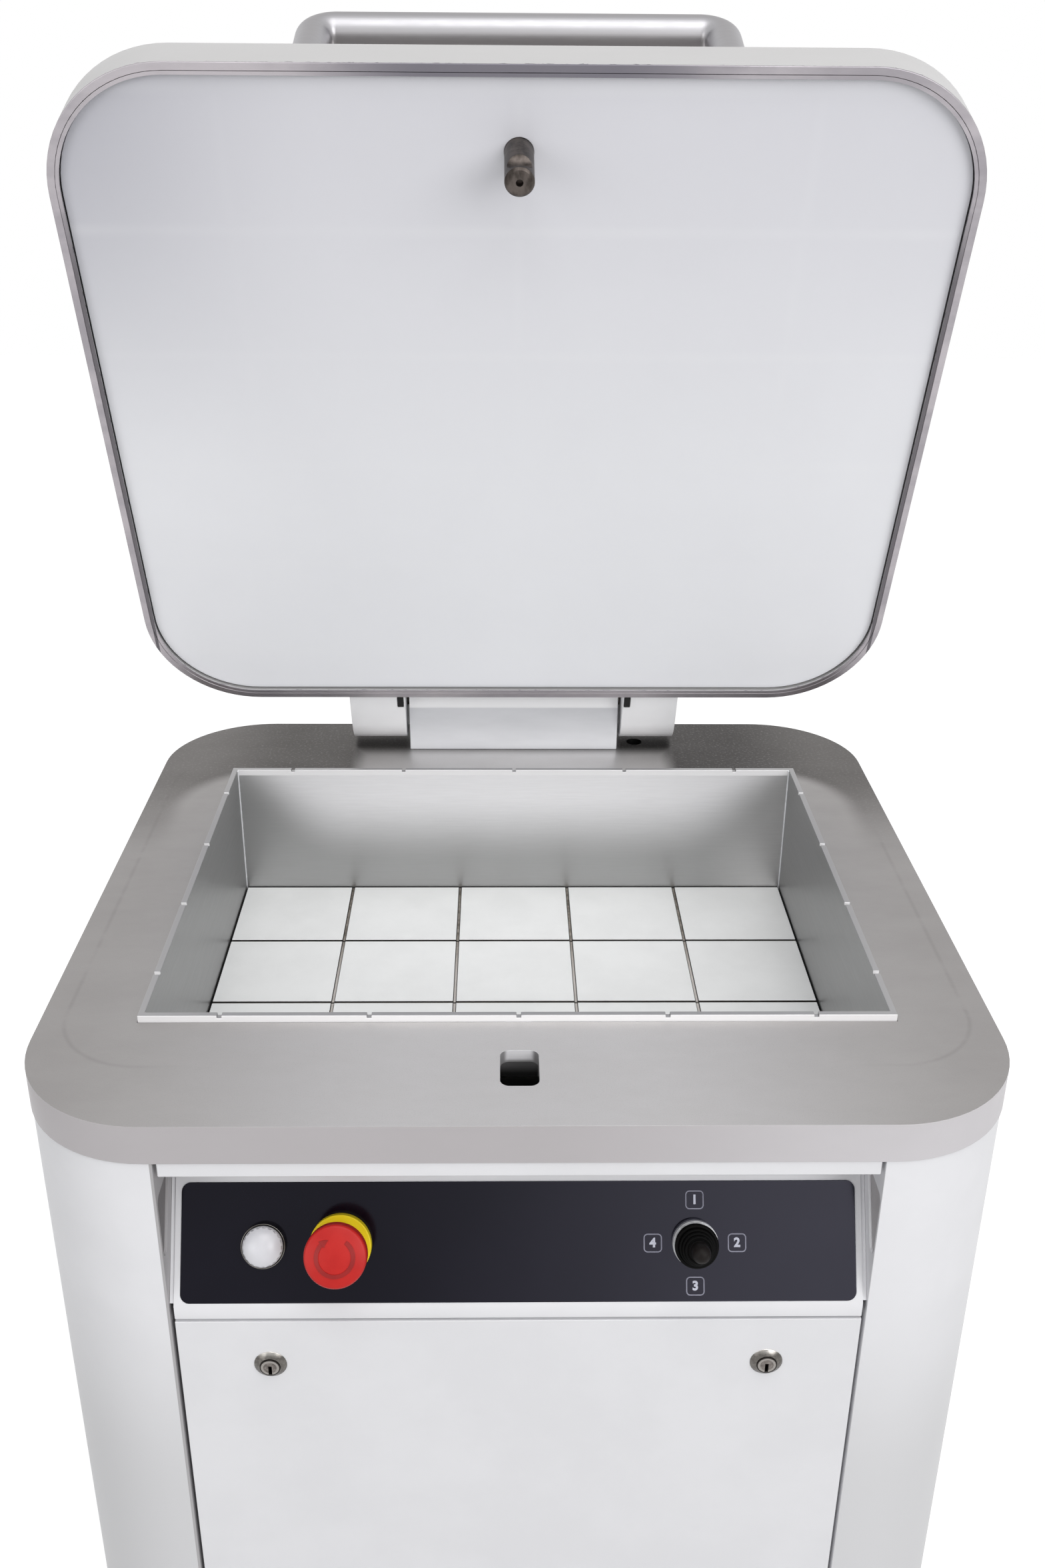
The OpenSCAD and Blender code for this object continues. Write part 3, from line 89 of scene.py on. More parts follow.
hingePoint = Vector(joints["lid_hinge"]["pos_m"])
openTurn = Matrix.Rotation(-math.radians(joints["lid_hinge"]["range_deg"][1]), 3, "X")
lidUp = openTurn @ Vector((0, 0, 1))        # out of the lid's back
lidBack = openTurn @ Vector((0, 1, 0))      # from the handle towards the hinge
slopeRight = Vector((1, 0, 0))
slopeUp = Vector(joints["joystick_tilt_across"]["axis"])
slopeOut = -Vector(joints["start_push"]["axis"])
joystickPivot = Vector(joints["joystick_tilt_up"]["pos_m"])
stopTop = Vector(joints["stop_twist"]["pos_m"])


def heightsOf(name, origin, axis):
    return [(vertex.co - origin).dot(axis) for vertex in nodes[name].data.vertices]


def sidesOf(name):
    return [abs(vertex.co.x) for vertex in nodes[name].data.vertices]


rimLevel = min(heightsOf("lid_shell", hingePoint, lidUp))
plateSide = max(sidesOf("lid_press_plate"))
labelLevel = max(heightsOf("console_label", joystickPivot, slopeOut))


# Shader node helpers: a socket or a plain value goes into each named input

def add(tree, kind, inputs=None, **settings):
    item = tree.nodes.new(kind)
    for key, value in settings.items():
        setattr(item, key, value)
    for key, value in (inputs or {}).items():
        socket = item.inputs[key]
        if isinstance(value, bpy.types.NodeSocket):
            tree.links.new(value, socket)
        else:
            socket.default_value = value
    return item


def calc(tree, operation, first, second=0.0, third=0.0):
    return add(tree, "ShaderNodeMath", {0: first, 1: second, 2: third}, operation=operation).outputs[0]


def times(tree, first, second):
    return calc(tree, "MULTIPLY", first, second)


def absolute(tree, value):
    return calc(tree, "ABSOLUTE", value)


def vectorCalc(tree, operation, first, second=(0, 0, 0), result="Vector"):
    inputs = {0: first}
    if operation not in ("ABSOLUTE", "LENGTH"):
        inputs[1] = second
    return add(tree, "ShaderNodeVectorMath", inputs, operation=operation).outputs[result]


def alongAxis(tree, place, origin, axis):
    away = vectorCalc(tree, "SUBTRACT", place, tuple(origin))
    return vectorCalc(tree, "DOT_PRODUCT", away, tuple(axis), "Value")


def fromAxis(tree, place, origin, axis):
    away = vectorCalc(tree, "SUBTRACT", place, tuple(origin))
    return vectorCalc(tree, "LENGTH", vectorCalc(tree, "CROSS_PRODUCT", away, tuple(axis)), result="Value")


def spread(tree, value, low, high, toLow=0.0, toHigh=1.0, smooth=True):
    kind = "SMOOTHSTEP" if smooth else "LINEAR"
    inputs = {"Value": value, "From Min": low, "From Max": high, "To Min": toLow, "To Max": toHigh}
    return add(tree, "ShaderNodeMapRange", inputs, interpolation_type=kind).outputs["Result"]


def mix(tree, share, first, second):
    return add(tree, "ShaderNodeMix", {0: share, 6: first, 7: second}, data_type="RGBA").outputs[2]


def fade(tree, value, limits, first, second):
    return mix(tree, spread(tree, value, *limits), first, second)


def objectPlace(tree):
    return add(tree, "ShaderNodeTexCoord").outputs["Object"]


def objectNormal(tree):
    return parts(tree, add(tree, "ShaderNodeTexCoord").outputs["Normal"])


def parts(tree, vector):
    return add(tree, "ShaderNodeSeparateXYZ", {0: vector}).outputs


def stretched(tree, place, scale):
    return add(tree, "ShaderNodeMapping", {"Vector": place, "Scale": scale}).outputs["Vector"]


def noise(tree, place, scale, detail=3.0, roughness=0.55):
    inputs = {"Vector": place, "Scale": scale, "Detail": detail, "Roughness": roughness}
    return add(tree, "ShaderNodeTexNoise", inputs).outputs["Fac"]


noiseRange = (0.3, 0.7)     # noise mostly keeps to it
mottleRange = (0.32, 0.68)
micron = 0.000001


def cloudy(tree, value, most=1.0):
    return spread(tree, value, *noiseRange, 0, most)


def rgb(red, green, blue):
    def one(value):
        value = value / 255
        return value / 12.92 if value <= 0.04045 else ((value + 0.055) / 1.055) ** 2.4
    return (one(red), one(green), one(blue), 1.0)


def startMaterial(name, metallic=0.0, specular=0.5):
    material = bpy.data.materials.new(name)
    material.use_nodes = True
    tree = material.node_tree
    inputs = tree.nodes["Principled BSDF"].inputs
    inputs["Metallic"].default_value = metallic
    inputs["Specular IOR Level"].default_value = specular
    return material, tree, objectPlace(tree)


# Last links of every material: its colour, its uneven gloss and its grain
def finishMaterial(material, look, colour, gloss, grain=None, metallic=None, span=noiseRange):
    tree = material.node_tree
    inputs = tree.nodes["Principled BSDF"].inputs
    relief = {"Height": grain or gloss, "Distance": look["depth"], "Strength": 1.0}
    tree.links.new(colour, inputs["Base Color"])
    tree.links.new(spread(tree, gloss, *span, *look["rough"], False), inputs["Roughness"])
    tree.links.new(add(tree, "ShaderNodeBump", relief).outputs["Normal"], inputs["Normal"])
    if metallic:
        tree.links.new(metallic, inputs["Metallic"])
    return material


# Plain finishes: paint, plastic and metal with a mottled colour, a grain and an uneven gloss

def makeSurface(name, look):
    material, tree, place = startMaterial(name, look.get("metallic", 0.0), look.get("specular", 0.5))
    if "brush" in look:
        place = stretched(tree, place, look["brush"])
    mottle = noise(tree, place, look["mottle"], 5.0)
    grain = noise(tree, place, look["grain"], 2.0)
    colour = fade(tree, mottle, mottleRange, look["dark"], look["light"])
    gloss = calc(tree, "MULTIPLY_ADD", mottle, 0.5, times(tree, grain, 0.5))
    return finishMaterial(material, look, colour, gloss, grain)


# Dark and light tone, scale of mottling and of grain, the grain's depth in microns, least and most roughness
def tones(dark, light, mottle, grain, depth, rough, **more):
    more.update(dark=rgb(*dark), light=rgb(*light))
    more.update(mottle=mottle, grain=grain, depth=depth * micron, rough=rough)
    return more


finishes = {
    "bodyPaint": tones((226, 226, 229), (230, 230, 233), 14, 420, 20, (0.36, 0.42)),
    "armPaint": tones((246, 246, 248), (250, 250, 252), 30, 420, 20, (0.36, 0.42)),
    # Painted shade: the greys of the sheets behind the cover windows, darker on the left
    "shieldPaintedShadeDark": tones((114, 111, 112), (124, 121, 122), 30, 420, 20, (0.4, 0.5)),
    "shieldPaintedShadePale": tones((176, 173, 174), (186, 183, 184), 30, 420, 20, (0.4, 0.5)),
    "buttonWhite": tones((214, 214, 219), (220, 220, 225), 60, 900, 10, (0.22, 0.28)),
    "stopRed": tones((180, 26, 22), (188, 32, 27), 70, 1500, 10, (0.36, 0.44), specular=0.3),
    # Painted shade: the arrow's darker red stands for the shade along its raised sides
    "arrowRedPaintedShade": tones((140, 14, 12), (152, 18, 16), 70, 1500, 10, (0.26, 0.34), specular=0.4),
    "stopYellow": tones((236, 210, 24), (240, 216, 32), 70, 1500, 10, (0.36, 0.44), specular=0.3),
    "blackPlastic": tones((13, 13, 14), (19, 19, 20), 60, 1300, 20, (0.4, 0.5), specular=0.3),
    "leverPlastic": tones((17, 14, 13), (25, 21, 20), 60, 1300, 20, (0.44, 0.54), specular=0.12),
    "blackRubber": tones((6, 6, 6), (11, 10, 10), 80, 1700, 30, (0.5, 0.62), specular=0.06),
    "markPrint": tones((184, 186, 200), (200, 202, 214), 90, 2200, 10, (0.4, 0.5), specular=0.2),
    "markLine": tones((132, 132, 146), (148, 148, 162), 90, 2200, 10, (0.4, 0.5), specular=0.2),
    "framePaint": tones((104, 106, 110), (122, 124, 128), 18, 380, 40, (0.42, 0.55)),
    "motorPaint": tones((58, 82, 116), (70, 94, 128), 24, 320, 60, (0.4, 0.52)),
    "boxPlastic": tones((176, 177, 178), (190, 191, 192), 24, 600, 30, (0.45, 0.55)),
    "brightSteel": tones((176, 177, 180), (204, 205, 208), 40, 700, 10, (0.24, 0.34), metallic=1),
    "weldSteel": tones((226, 227, 230), (242, 243, 246), 90, 1200, 20, (0.3, 0.4), metallic=0.5),
    "nickel": tones((108, 105, 101), (132, 129, 125), 120, 1600, 10, (0.2, 0.28), metallic=1),
    "darkSteel": tones((84, 80, 76), (116, 111, 106), 90, 900, 30, (0.34, 0.5), metallic=1),
    "pinSteel": tones((58, 53, 50), (98, 91, 87), 160, 900, 40, (0.36, 0.5), metallic=1,
                      brush=(1, 1, 0.35)),
    "valveMetal": tones((176, 178, 181), (196, 198, 200), 40, 600, 20, (0.34, 0.44), metallic=1),
    "bronze": tones((170, 132, 76), (196, 156, 94), 70, 700, 20, (0.34, 0.46), metallic=1),
}

surfaces = {name: makeSurface(name, look) for name, look in finishes.items()}
print("plain finishes made:", len(surfaces))


# Side covers: body paint with painted shade low on the front corners and on the inner face of the left
# cover's fold

coverLook = {
    "paint": rgb(237, 237, 240),
    "paintShade": rgb(233, 233, 236),
    # Painted shade: grey low on the front corners
    "low": rgb(217, 217, 219),
    "paintedShadeLevel": (0.58, 0.78),
    "frontFacing": (-0.45, -0.05),
    "specular": 0.1,
    # Painted shade: grey on the inner face of the left cover's fold
    "fold": rgb(178, 176, 178),
    "foldReach": -0.2268,   # the fold lies to the right of this
}


def makeCover(name, look, folded):
    paint = dict(finishes["bodyPaint"])
    paint.update(dark=look["paintShade"], light=look["paint"], specular=look["specular"])
    material = makeSurface(name, paint)
    tree = material.node_tree
    base = tree.nodes["Principled BSDF"].inputs["Base Color"]
    spot = parts(tree, objectPlace(tree))
    # Painted shade low on the forward-facing faces and on the fold
    front = spread(tree, objectNormal(tree)["Y"], *look["frontFacing"], 1, 0)
    share = times(tree, front, spread(tree, spot["Z"], *look["paintedShadeLevel"], 1, 0))
    colour = mix(tree, share, base.links[0].from_socket, look["low"])
    if folded:
        fold = calc(tree, "GREATER_THAN", spot["X"], look["foldReach"])
        colour = mix(tree, fold, colour, look["fold"])
    tree.links.new(colour, base)
    return material


# Lid coat: white paint, bare worn metal on the rim that closes on the table

lidLook = {
    "chipScale": 170,
    "chipFrom": (0.52, 0.7),
    "paintScale": 9,
    "patchScale": 24,
    "grain": 420,
    "paint": rgb(193, 192, 192),
    "paintShade": rgb(188, 187, 187),
    "metal": rgb(180, 175, 179),
    "metalDark": rgb(150, 146, 151),
    "patch": (0.4, 1, 1),       # patches in the metal are longer across
    "middle": rgb(108, 106, 114),    # darker stretch of the rim at the handle
    "middleTone": 0.9,
    "middleAcross": (0.06, 0.17),
    "middleAlong": (-0.54, -0.56),      # from the hinge
    # Painted shade: the bead's dark tone along the sides stands for the shade in the gap there
    "beadPaintedShade": rgb(104, 101, 105),  # the bead between rim and plate, along the sides
    "beadAlong": (-0.52, -0.44),
    "metalRise": 0.0010,    # bare metal above the rim face
    "chipRise": 0.0012,     # how far chips climb higher
    "depth": 0.00002,
    "rough": (0.3, 0.4),
}

# Bead that fills the gap between the lid's rim and its plate
beadLook = {
    "width": 0.0026,
    "clear": 0.00005,
    "below": 0.0002,        # how far it lies behind the rim's face
    "thickness": 0.0015,
    "corner": 0.0818,       # the plate's own corner
    "cornerSteps": 24,
}


def makeLidCoat(name, look):
    material, tree, place = startMaterial(name)
    height = calc(tree, "SUBTRACT", alongAxis(tree, place, hingePoint, lidUp), rimLevel)
    chips = spread(tree, noise(tree, place, look["chipScale"], 4.0, 0.65), *look["chipFrom"])
    climb = calc(tree, "MULTIPLY_ADD", chips, look["chipRise"], look["metalRise"])
    isMetal = calc(tree, "LESS_THAN", height, climb)
    paint = mix(tree, noise(tree, place, look["paintScale"], 4.0), look["paintShade"], look["paint"])
    patches = cloudy(tree, noise(tree, stretched(tree, place, look["patch"]), look["patchScale"], 5.0, 0.6))
    metal = mix(tree, patches, look["metalDark"], look["metal"])
    across = absolute(tree, parts(tree, place)["X"])
    along = alongAxis(tree, place, hingePoint, lidBack)
    middle = spread(tree, across, *look["middleAcross"], look["middleTone"], 0)
    middle = times(tree, middle, spread(tree, along, *look["middleAlong"]))
    metal = mix(tree, middle, metal, look["middle"])
    # Painted shade on the bead along the sides
    outside = calc(tree, "GREATER_THAN", across, plateSide)
    inside = calc(tree, "LESS_THAN", across, plateSide + beadLook["width"])
    onBead = times(tree, inside, times(tree, outside, spread(tree, along, *look["beadAlong"])))
    metal = mix(tree, onBead, metal, look["beadPaintedShade"])
    colour = mix(tree, isMetal, paint, metal)
    grain = noise(tree, place, look["grain"], 2.0)
    return finishMaterial(material, look, colour, patches, grain, isMetal, (0, 1))


# Table metal: fine blasted grey, with painted sheen and shade: a lighter middle, a dark curved band that the
# open lid leaves in its sheen behind the pan, painted shadow under the hinge arms and a painted reflection
# of the hinge block before it

plateLook = {
    "sparkleScale": 420,
    "smearScale": 26,
    "fleckScale": 1300,
    # Painted sheen: lighter in the middle of the table, darker towards its sides
    "middle": rgb(212, 210, 209),
    "side": rgb(162, 159, 158),
    "sideFade": (0.06, 0.32),
    # Painted shade behind the pan and at the back corners, deeper on the right
    "behindShadeLeft": rgb(86, 83, 81),
    "behindShadeRight": rgb(68, 65, 64),
    "behindFade": (0.02, 0.2),
    "cornerShadeLeft": rgb(118, 115, 113),
    "cornerShadeRight": rgb(104, 101, 99),
    "cornerFade": (0.2, 0.3),
    "dirt": rgb(96, 93, 91),
    # Painted light: the table's upright edge grows lighter from left to right
    "edgeShadedLeft": rgb(178, 174, 176),
    "edgeLitRight": rgb(199, 196, 199),
    "edgeFade": (0.0, 0.26),
    "edgeMetal": 0.25,
    "upFacing": (0.55, 0.95),
    "rough": (0.4, 0.48),
    "depth": 0.00003,
    "sheenHalf": 0.297,     # outline of the light part: half width, back edge and corner
    "sheenBack": 0.206,
    "sheenCorner": 0.077,
    "sheenFade": (-0.014, 0.006),
    # Painted reflection of the hinge block keeps the table light before it
    "hingeHalf": (0.134, 0.152),    # the hinge keeps the table light before it
    "armFront": (0.236, 0.262),
    "lineInset": (0.016, 0.061),    # worn outline: from the sides and from the front edge
    "lineCorner": 0.060,
    "lineWidth": 0.0026,
    "lineSides": (0.2, 0.28),
    "lineTone": 0.14,
    "lineFrom": (0.35, 0.55),
    "fleckTone": 0.10,
    "fleckFrom": (0.5, 0.75),
    "smear": (0.5, 1, 1),
    "smearTone": 0.05,
    "smearFrom": (0.35, 0.7),
    "sparkleTone": 0.35,
    "sparkleFrom": (0.5, 0.72),
    # Painted light: the lit top strip of the latch slot's back wall
    "lip": rgb(240, 239, 242),       # back wall of the latch slot
    "lipLevel": (0.8912, 0.8942),
    "lipHalf": (0.0072, 0.0105),
    # Painted shade: the latch slot's walls darken downwards to black, and the sensor hole's wall is painted
    # black
    "wellPaintedShade": rgb(150, 149, 150),
    "wellPaintedBlack": rgb(6, 6, 6),
    "wellLevel": (0.874, 0.884),
    "slotHalf": 0.0126,
    "slotFront": -0.29,
    "holeRadius": 0.0085,
}


def roundedDistance(tree, place, centre, half, radius):
    away = vectorCalc(tree, "ABSOLUTE", vectorCalc(tree, "SUBTRACT", place, (centre[0], centre[1], 0)))
    farUp = 10      # above any place on the table, so that only its plan counts
    outside = vectorCalc(tree, "SUBTRACT", away, (half[0] - radius, half[1] - radius, farUp))
    length = vectorCalc(tree, "LENGTH", vectorCalc(tree, "MAXIMUM", outside, (0, 0, 0)), result="Value")
    return calc(tree, "SUBTRACT", length, radius)


# Painted sheen and shade on the table: a light middle, a dark band behind the pan, painted shadow under the
# hinge arms and a painted reflection of the hinge block; specks of painted glint lighten the shade
def tableTone(tree, place, look, plateFront):
    spot = parts(tree, place)
    aside = absolute(tree, spot["X"])
    colour = fade(tree, aside, look["sideFade"], look["middle"], look["side"])
    front = plateFront * 2      # the light part runs out over the front edge
    sheen = roundedDistance(tree, place, (0, (front + look["sheenBack"]) / 2),
                            (look["sheenHalf"], (look["sheenBack"] - front) / 2), look["sheenCorner"])
    dark = times(tree, spread(tree, sheen, *look["sheenFade"]), spread(tree, spot["Y"], *look["behindFade"]))
    besideHinge = spread(tree, aside, *look["hingeHalf"])
    armShadow = spread(tree, spot["Y"], *look["armFront"])
    dark = times(tree, dark, calc(tree, "MAXIMUM", besideHinge, armShadow))
    rightward = calc(tree, "GREATER_THAN", spot["X"], 0)
    behind = mix(tree, rightward, look["behindShadeLeft"], look["behindShadeRight"])
    corner = mix(tree, rightward, look["cornerShadeLeft"], look["cornerShadeRight"])
    behind = fade(tree, aside, look["cornerFade"], behind, corner)
    sparkle = noise(tree, place, look["sparkleScale"], 4.0, 0.7)
    sparkle = spread(tree, sparkle, *look["sparkleFrom"], 0, look["sparkleTone"])
    return mix(tree, dark, colour, mix(tree, sparkle, behind, look["side"]))


# Painted shade in the latch slot and in the sensor hole
def recessTone(tree, place, look, edge):
    spot = parts(tree, place)
    aside = absolute(tree, spot["X"])
    inSlot = calc(tree, "LESS_THAN", aside, look["slotHalf"])
    inSlot = times(tree, inSlot, calc(tree, "GREATER_THAN", spot["Y"], look["slotFront"]))
    wellPaintedShade = fade(tree, spot["Z"], look["wellLevel"], look["wellPaintedBlack"], look["wellPaintedShade"])
    # Painted light on the top of the slot's back wall
    onLip = spread(tree, spot["Z"], *look["lipLevel"])
    onLip = times(tree, onLip, spread(tree, aside, *look["lipHalf"], 1, 0))
    edge = mix(tree, inSlot, edge, mix(tree, onLip, wellPaintedShade, look["lip"]))
    hole = sum(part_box("lid_sensor"), Vector()) / 2
    inHole = calc(tree, "LESS_THAN", fromAxis(tree, place, hole, (0, 0, 1)), look["holeRadius"])
    return mix(tree, inHole, edge, look["wellPaintedBlack"])


def makePlateMetal(name, look):
    low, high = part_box("top_plate")
    insetX, insetY = look["lineInset"]
    front = low.y + insetY
    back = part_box("hinge_block")[0].y - insetX
    material, tree, place = startMaterial(name)
    across = parts(tree, place)["X"]
    smear = noise(tree, stretched(tree, place, look["smear"]), look["smearScale"], 5.0, 0.6)
    smeared = spread(tree, smear, *look["smearFrom"], 0, look["smearTone"])
    fleck = noise(tree, place, look["fleckScale"], 2.0)
    line = absolute(tree, roundedDistance(tree, place, (0, (front + back) / 2),
                                          (high.x - insetX, (back - front) / 2), look["lineCorner"]))
    worn = spread(tree, absolute(tree, across), *look["lineSides"])
    worn = times(tree, spread(tree, smear, *look["lineFrom"]), worn)
    worn = times(tree, spread(tree, line, 0, look["lineWidth"], look["lineTone"], 0), worn)
    colour = mix(tree, worn, tableTone(tree, place, look, low.y), look["dirt"])
    colour = mix(tree, smeared, colour, look["dirt"])
    flecked = spread(tree, fleck, *look["fleckFrom"], 0, look["fleckTone"])
    colour = mix(tree, flecked, colour, look["dirt"])
    # Painted light along the upright edge, lighter to the right
    edge = fade(tree, across, look["edgeFade"], look["edgeShadedLeft"], look["edgeLitRight"])
    edge = recessTone(tree, place, look, mix(tree, smeared, edge, look["side"]))
    upward = spread(tree, objectNormal(tree)["Z"], *look["upFacing"])
    metallic = spread(tree, upward, 0, 1, look["edgeMetal"], 1, False)
    return finishMaterial(material, look, mix(tree, upward, edge, colour), smear, fleck, metallic)


# Pan steel: brushed along the walls, with a painted reflection as a light patch high on the back wall,
# painted light at the wall's ends and a painted highlight on the front rim

panLook = {
    "streakScale": 5,
    "backFacing": (-0.5, -0.9),
    "rimFacing": (0.3, 0.8),
    "notchFacing": (-0.3, -0.7),
    "wall": rgb(156, 156, 156),
    # Painted reflection: the back wall's light patch, from low to high
    "low": rgb(178, 178, 178),
    "high": rgb(251, 250, 252),
    # Painted light at the ends of the back wall, lighter on the right
    "endPaintedLightLeft": rgb(182, 182, 182),
    "endPaintedLightRight": rgb(214, 213, 213),
    "endFade": (0.17, 0.24),
    "reflectionMetal": 0.72,
    "patchLevel": 0.844,    # lower edge of the light patch, in the middle and at its ends
    "patchRise": 0.058,
    "patchSpan": (0.14, 0.25),
    "patchFade": (-0.034, 0.040),
    "backFrom": (0.1, 0.15),
    # Painted highlight: the bright front rim and notch faces
    "rim": rgb(230, 229, 230),
    "rimHighlightMetal": 0.1,
    "rimWidth": 0.008,
    "rimBelow": 0.0005,     # the rim's tone starts just below the table
    "sideRim": rgb(176, 175, 176),
    "rough": (0.36, 0.44),
    "depth": 0.000012,
    "streak": (6, 6, 160),
    "streakTone": 0.07,
}


def makePanSteel(name, look):
    low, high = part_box("pan")
    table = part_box("top_plate")[1].z
    material, tree, place = startMaterial(name)
    spot = parts(tree, place)
    facing = objectNormal(tree)
    aside = absolute(tree, spot["X"])
    # Painted reflection high on the back wall and painted light at its ends
    rise = spread(tree, aside, *look["patchSpan"], 0, 1, False)
    level = calc(tree, "MULTIPLY_ADD", times(tree, rise, rise), look["patchRise"], look["patchLevel"])
    patch = spread(tree, calc(tree, "SUBTRACT", spot["Z"], level), *look["patchFade"])
    ends = times(tree, spread(tree, aside, *look["endFade"]), calc(tree, "SUBTRACT", 1.0, patch))
    endTone = mix(tree, calc(tree, "GREATER_THAN", spot["X"], 0), look["endPaintedLightLeft"], look["endPaintedLightRight"])
    backWall = mix(tree, ends, mix(tree, patch, look["low"], look["high"]), endTone)
    isBack = spread(tree, facing["Y"], *look["backFacing"])
    isBack = times(tree, isBack, spread(tree, spot["Y"], *look["backFrom"]))
    colour = mix(tree, isBack, look["wall"], backWall)
    streaks = noise(tree, stretched(tree, place, look["streak"]), look["streakScale"], 4.0, 0.6)
    colour = mix(tree, cloudy(tree, streaks, look["streakTone"]), colour, look["wall"])
    above = calc(tree, "GREATER_THAN", spot["Z"], table - look["rimBelow"])
    upward = spread(tree, facing["Z"], *look["rimFacing"])
    colour = mix(tree, times(tree, above, upward), colour, look["sideRim"])
    # Painted highlight on the front rim's top and on the notch faces
    front = calc(tree, "LESS_THAN", spot["Y"], low.y + look["rimWidth"])
    beforeBack = calc(tree, "LESS_THAN", spot["Y"], high.y - look["rimWidth"])
    notched = times(tree, beforeBack, spread(tree, facing["Y"], *look["notchFacing"]))
    rim = times(tree, above, calc(tree, "MAXIMUM", times(tree, front, upward), notched))
    colour = mix(tree, rim, colour, look["rim"])
    metallic = spread(tree, times(tree, isBack, patch), 0, 1, 1, look["reflectionMetal"], False)
    metallic = spread(tree, rim, 0, 1, metallic, look["rimHighlightMetal"], False)
    return finishMaterial(material, look, colour, streaks, None, metallic, (0.25, 0.75))


# Lid plate: bluish white plastic with faint paler bands where the knives press, and painted shade that
# darkens it towards the handle, most at the left

lidPlateLook = {
    "cloudScale": 4,
    "bandScale": 6,
    "grain": 700,
    # Painted shade: light by the hinge, darker towards the handle and darker still at its left
    "near": rgb(245, 246, 250),      # next to the hinge
    "far": rgb(224, 224, 230),       # next to the handle
    "farFade": (-0.3, 0.05),
    "farLeftPaintedShade": rgb(192, 192, 200),
    "leftFade": (-0.32, -0.12),
    "shade": rgb(206, 206, 212),
    "shadeTone": 0.10,
    "band": rgb(246, 247, 249),
    "bandStep": (0.100, 0.0975),
    "bandWidth": 0.007,
    "bandTone": 0.16,
    "bandLeast": 0.35,      # where the bands are faintest
    "columnTone": 0.5,
    "rough": (0.32, 0.4),
    "depth": 0.00001,
}


def knifeBands(tree, along, step, width):
    shifted = calc(tree, "ADD", along, step / 2)
    cell = calc(tree, "SUBTRACT", calc(tree, "FLOORED_MODULO", shifted, step), step / 2)
    return spread(tree, absolute(tree, cell), 0, width, 1, 0)


def makeLidPlate(name, look):
    material, tree, place = startMaterial(name)
    along = calc(tree, "ADD", alongAxis(tree, place, hingePoint, lidBack), hingePoint.y)
    across = parts(tree, place)["X"]
    stepX, stepY = look["bandStep"]
    cloud = noise(tree, place, look["cloudScale"], 4.0)
    # Painted shade towards the handle, most at the left
    far = fade(tree, across, look["leftFade"], look["farLeftPaintedShade"], look["far"])
    colour = fade(tree, along, look["farFade"], far, look["near"])
    colour = mix(tree, cloudy(tree, cloud, look["shadeTone"]), colour, look["shade"])
    patchy = spread(tree, noise(tree, place, look["bandScale"], 2.0), *noiseRange, look["bandLeast"], 1)
    rows = knifeBands(tree, along, stepY, look["bandWidth"])
    columns = times(tree, knifeBands(tree, across, 2 * stepX, look["bandWidth"]), look["columnTone"])
    bands = times(tree, calc(tree, "MAXIMUM", rows, columns), patchy)
    colour = mix(tree, times(tree, bands, look["bandTone"]), colour, look["band"])
    return finishMaterial(material, look, colour, cloud, noise(tree, place, look["grain"], 2.0))


# Console label: satin black film, a little worn

labelLook = {
    "cloudScale": 12,
    "grain": 1500,
    "base": rgb(5, 4, 10),
    "cloud": rgb(18, 16, 25),
    "cloudTone": 0.3,
    "specular": (0.215, 0.76),      # the sheen grows from left to right
    "sheenAcross": (-0.12, 0.22),
    "plainSpecular": 0.45,
    "tint": (0.8, 0.79, 1.0, 1),
    "rough": (0.07, 0.11),
    "depth": 0.000012,
}


def makeLabelFilm(name, look):
    material, tree, place = startMaterial(name, 0.0, look["plainSpecular"])
    inputs = tree.nodes["Principled BSDF"].inputs
    inputs["Specular Tint"].default_value = look["tint"]
    sheen = spread(tree, parts(tree, place)["X"], *look["sheenAcross"], *look["specular"])
    tree.links.new(sheen, inputs["Specular IOR Level"])
    cloud = noise(tree, place, look["cloudScale"], 4.0)
    colour = mix(tree, cloudy(tree, cloud, look["cloudTone"]), look["base"], look["cloud"])
    return finishMaterial(material, look, colour, cloud, noise(tree, place, look["grain"], 2.0))


# Handle tube: satin steel with painted light: a little paler below, greyest on top

handleLook = {
    "scale": 420,
    # Painted light: the tube's tone follows the way its faces point
    "lowFacing": (-0.6, 0.3),
    "topFacing": (0.7, 1.0),
    "bright": rgb(169, 168, 171),
    "plain": rgb(158, 156, 158),
    "below": rgb(194, 190, 191),
    "brush": (0.2, 1, 1),
    "brushTone": 0.1,
    "rough": (0.38, 0.44),
    "depth": 0.000008,
}


def makeHandle(name, look):
    material, tree, place = startMaterial(name, 1.0)
    brushed = noise(tree, stretched(tree, place, look["brush"]), look["scale"])
    # Painted light by the way the faces point
    upward = objectNormal(tree)["Z"]
    colour = fade(tree, upward, look["lowFacing"], look["below"], look["bright"])
    colour = fade(tree, upward, look["topFacing"], colour, look["plain"])
    colour = mix(tree, cloudy(tree, brushed, look["brushTone"]), colour, look["plain"])
    return finishMaterial(material, look, colour, brushed)


# Joystick ring: satin chrome on its outer wall, black inside

ringLook = {
    "scale": 600,
    "chrome": rgb(232, 233, 236),
    "chromeDark": rgb(214, 215, 218),
    "black": rgb(12, 12, 12),
    "boreRadius": 0.0133,
    "metallic": 0.4,
    "rough": (0.3, 0.4),
    "depth": 0.000004,
}


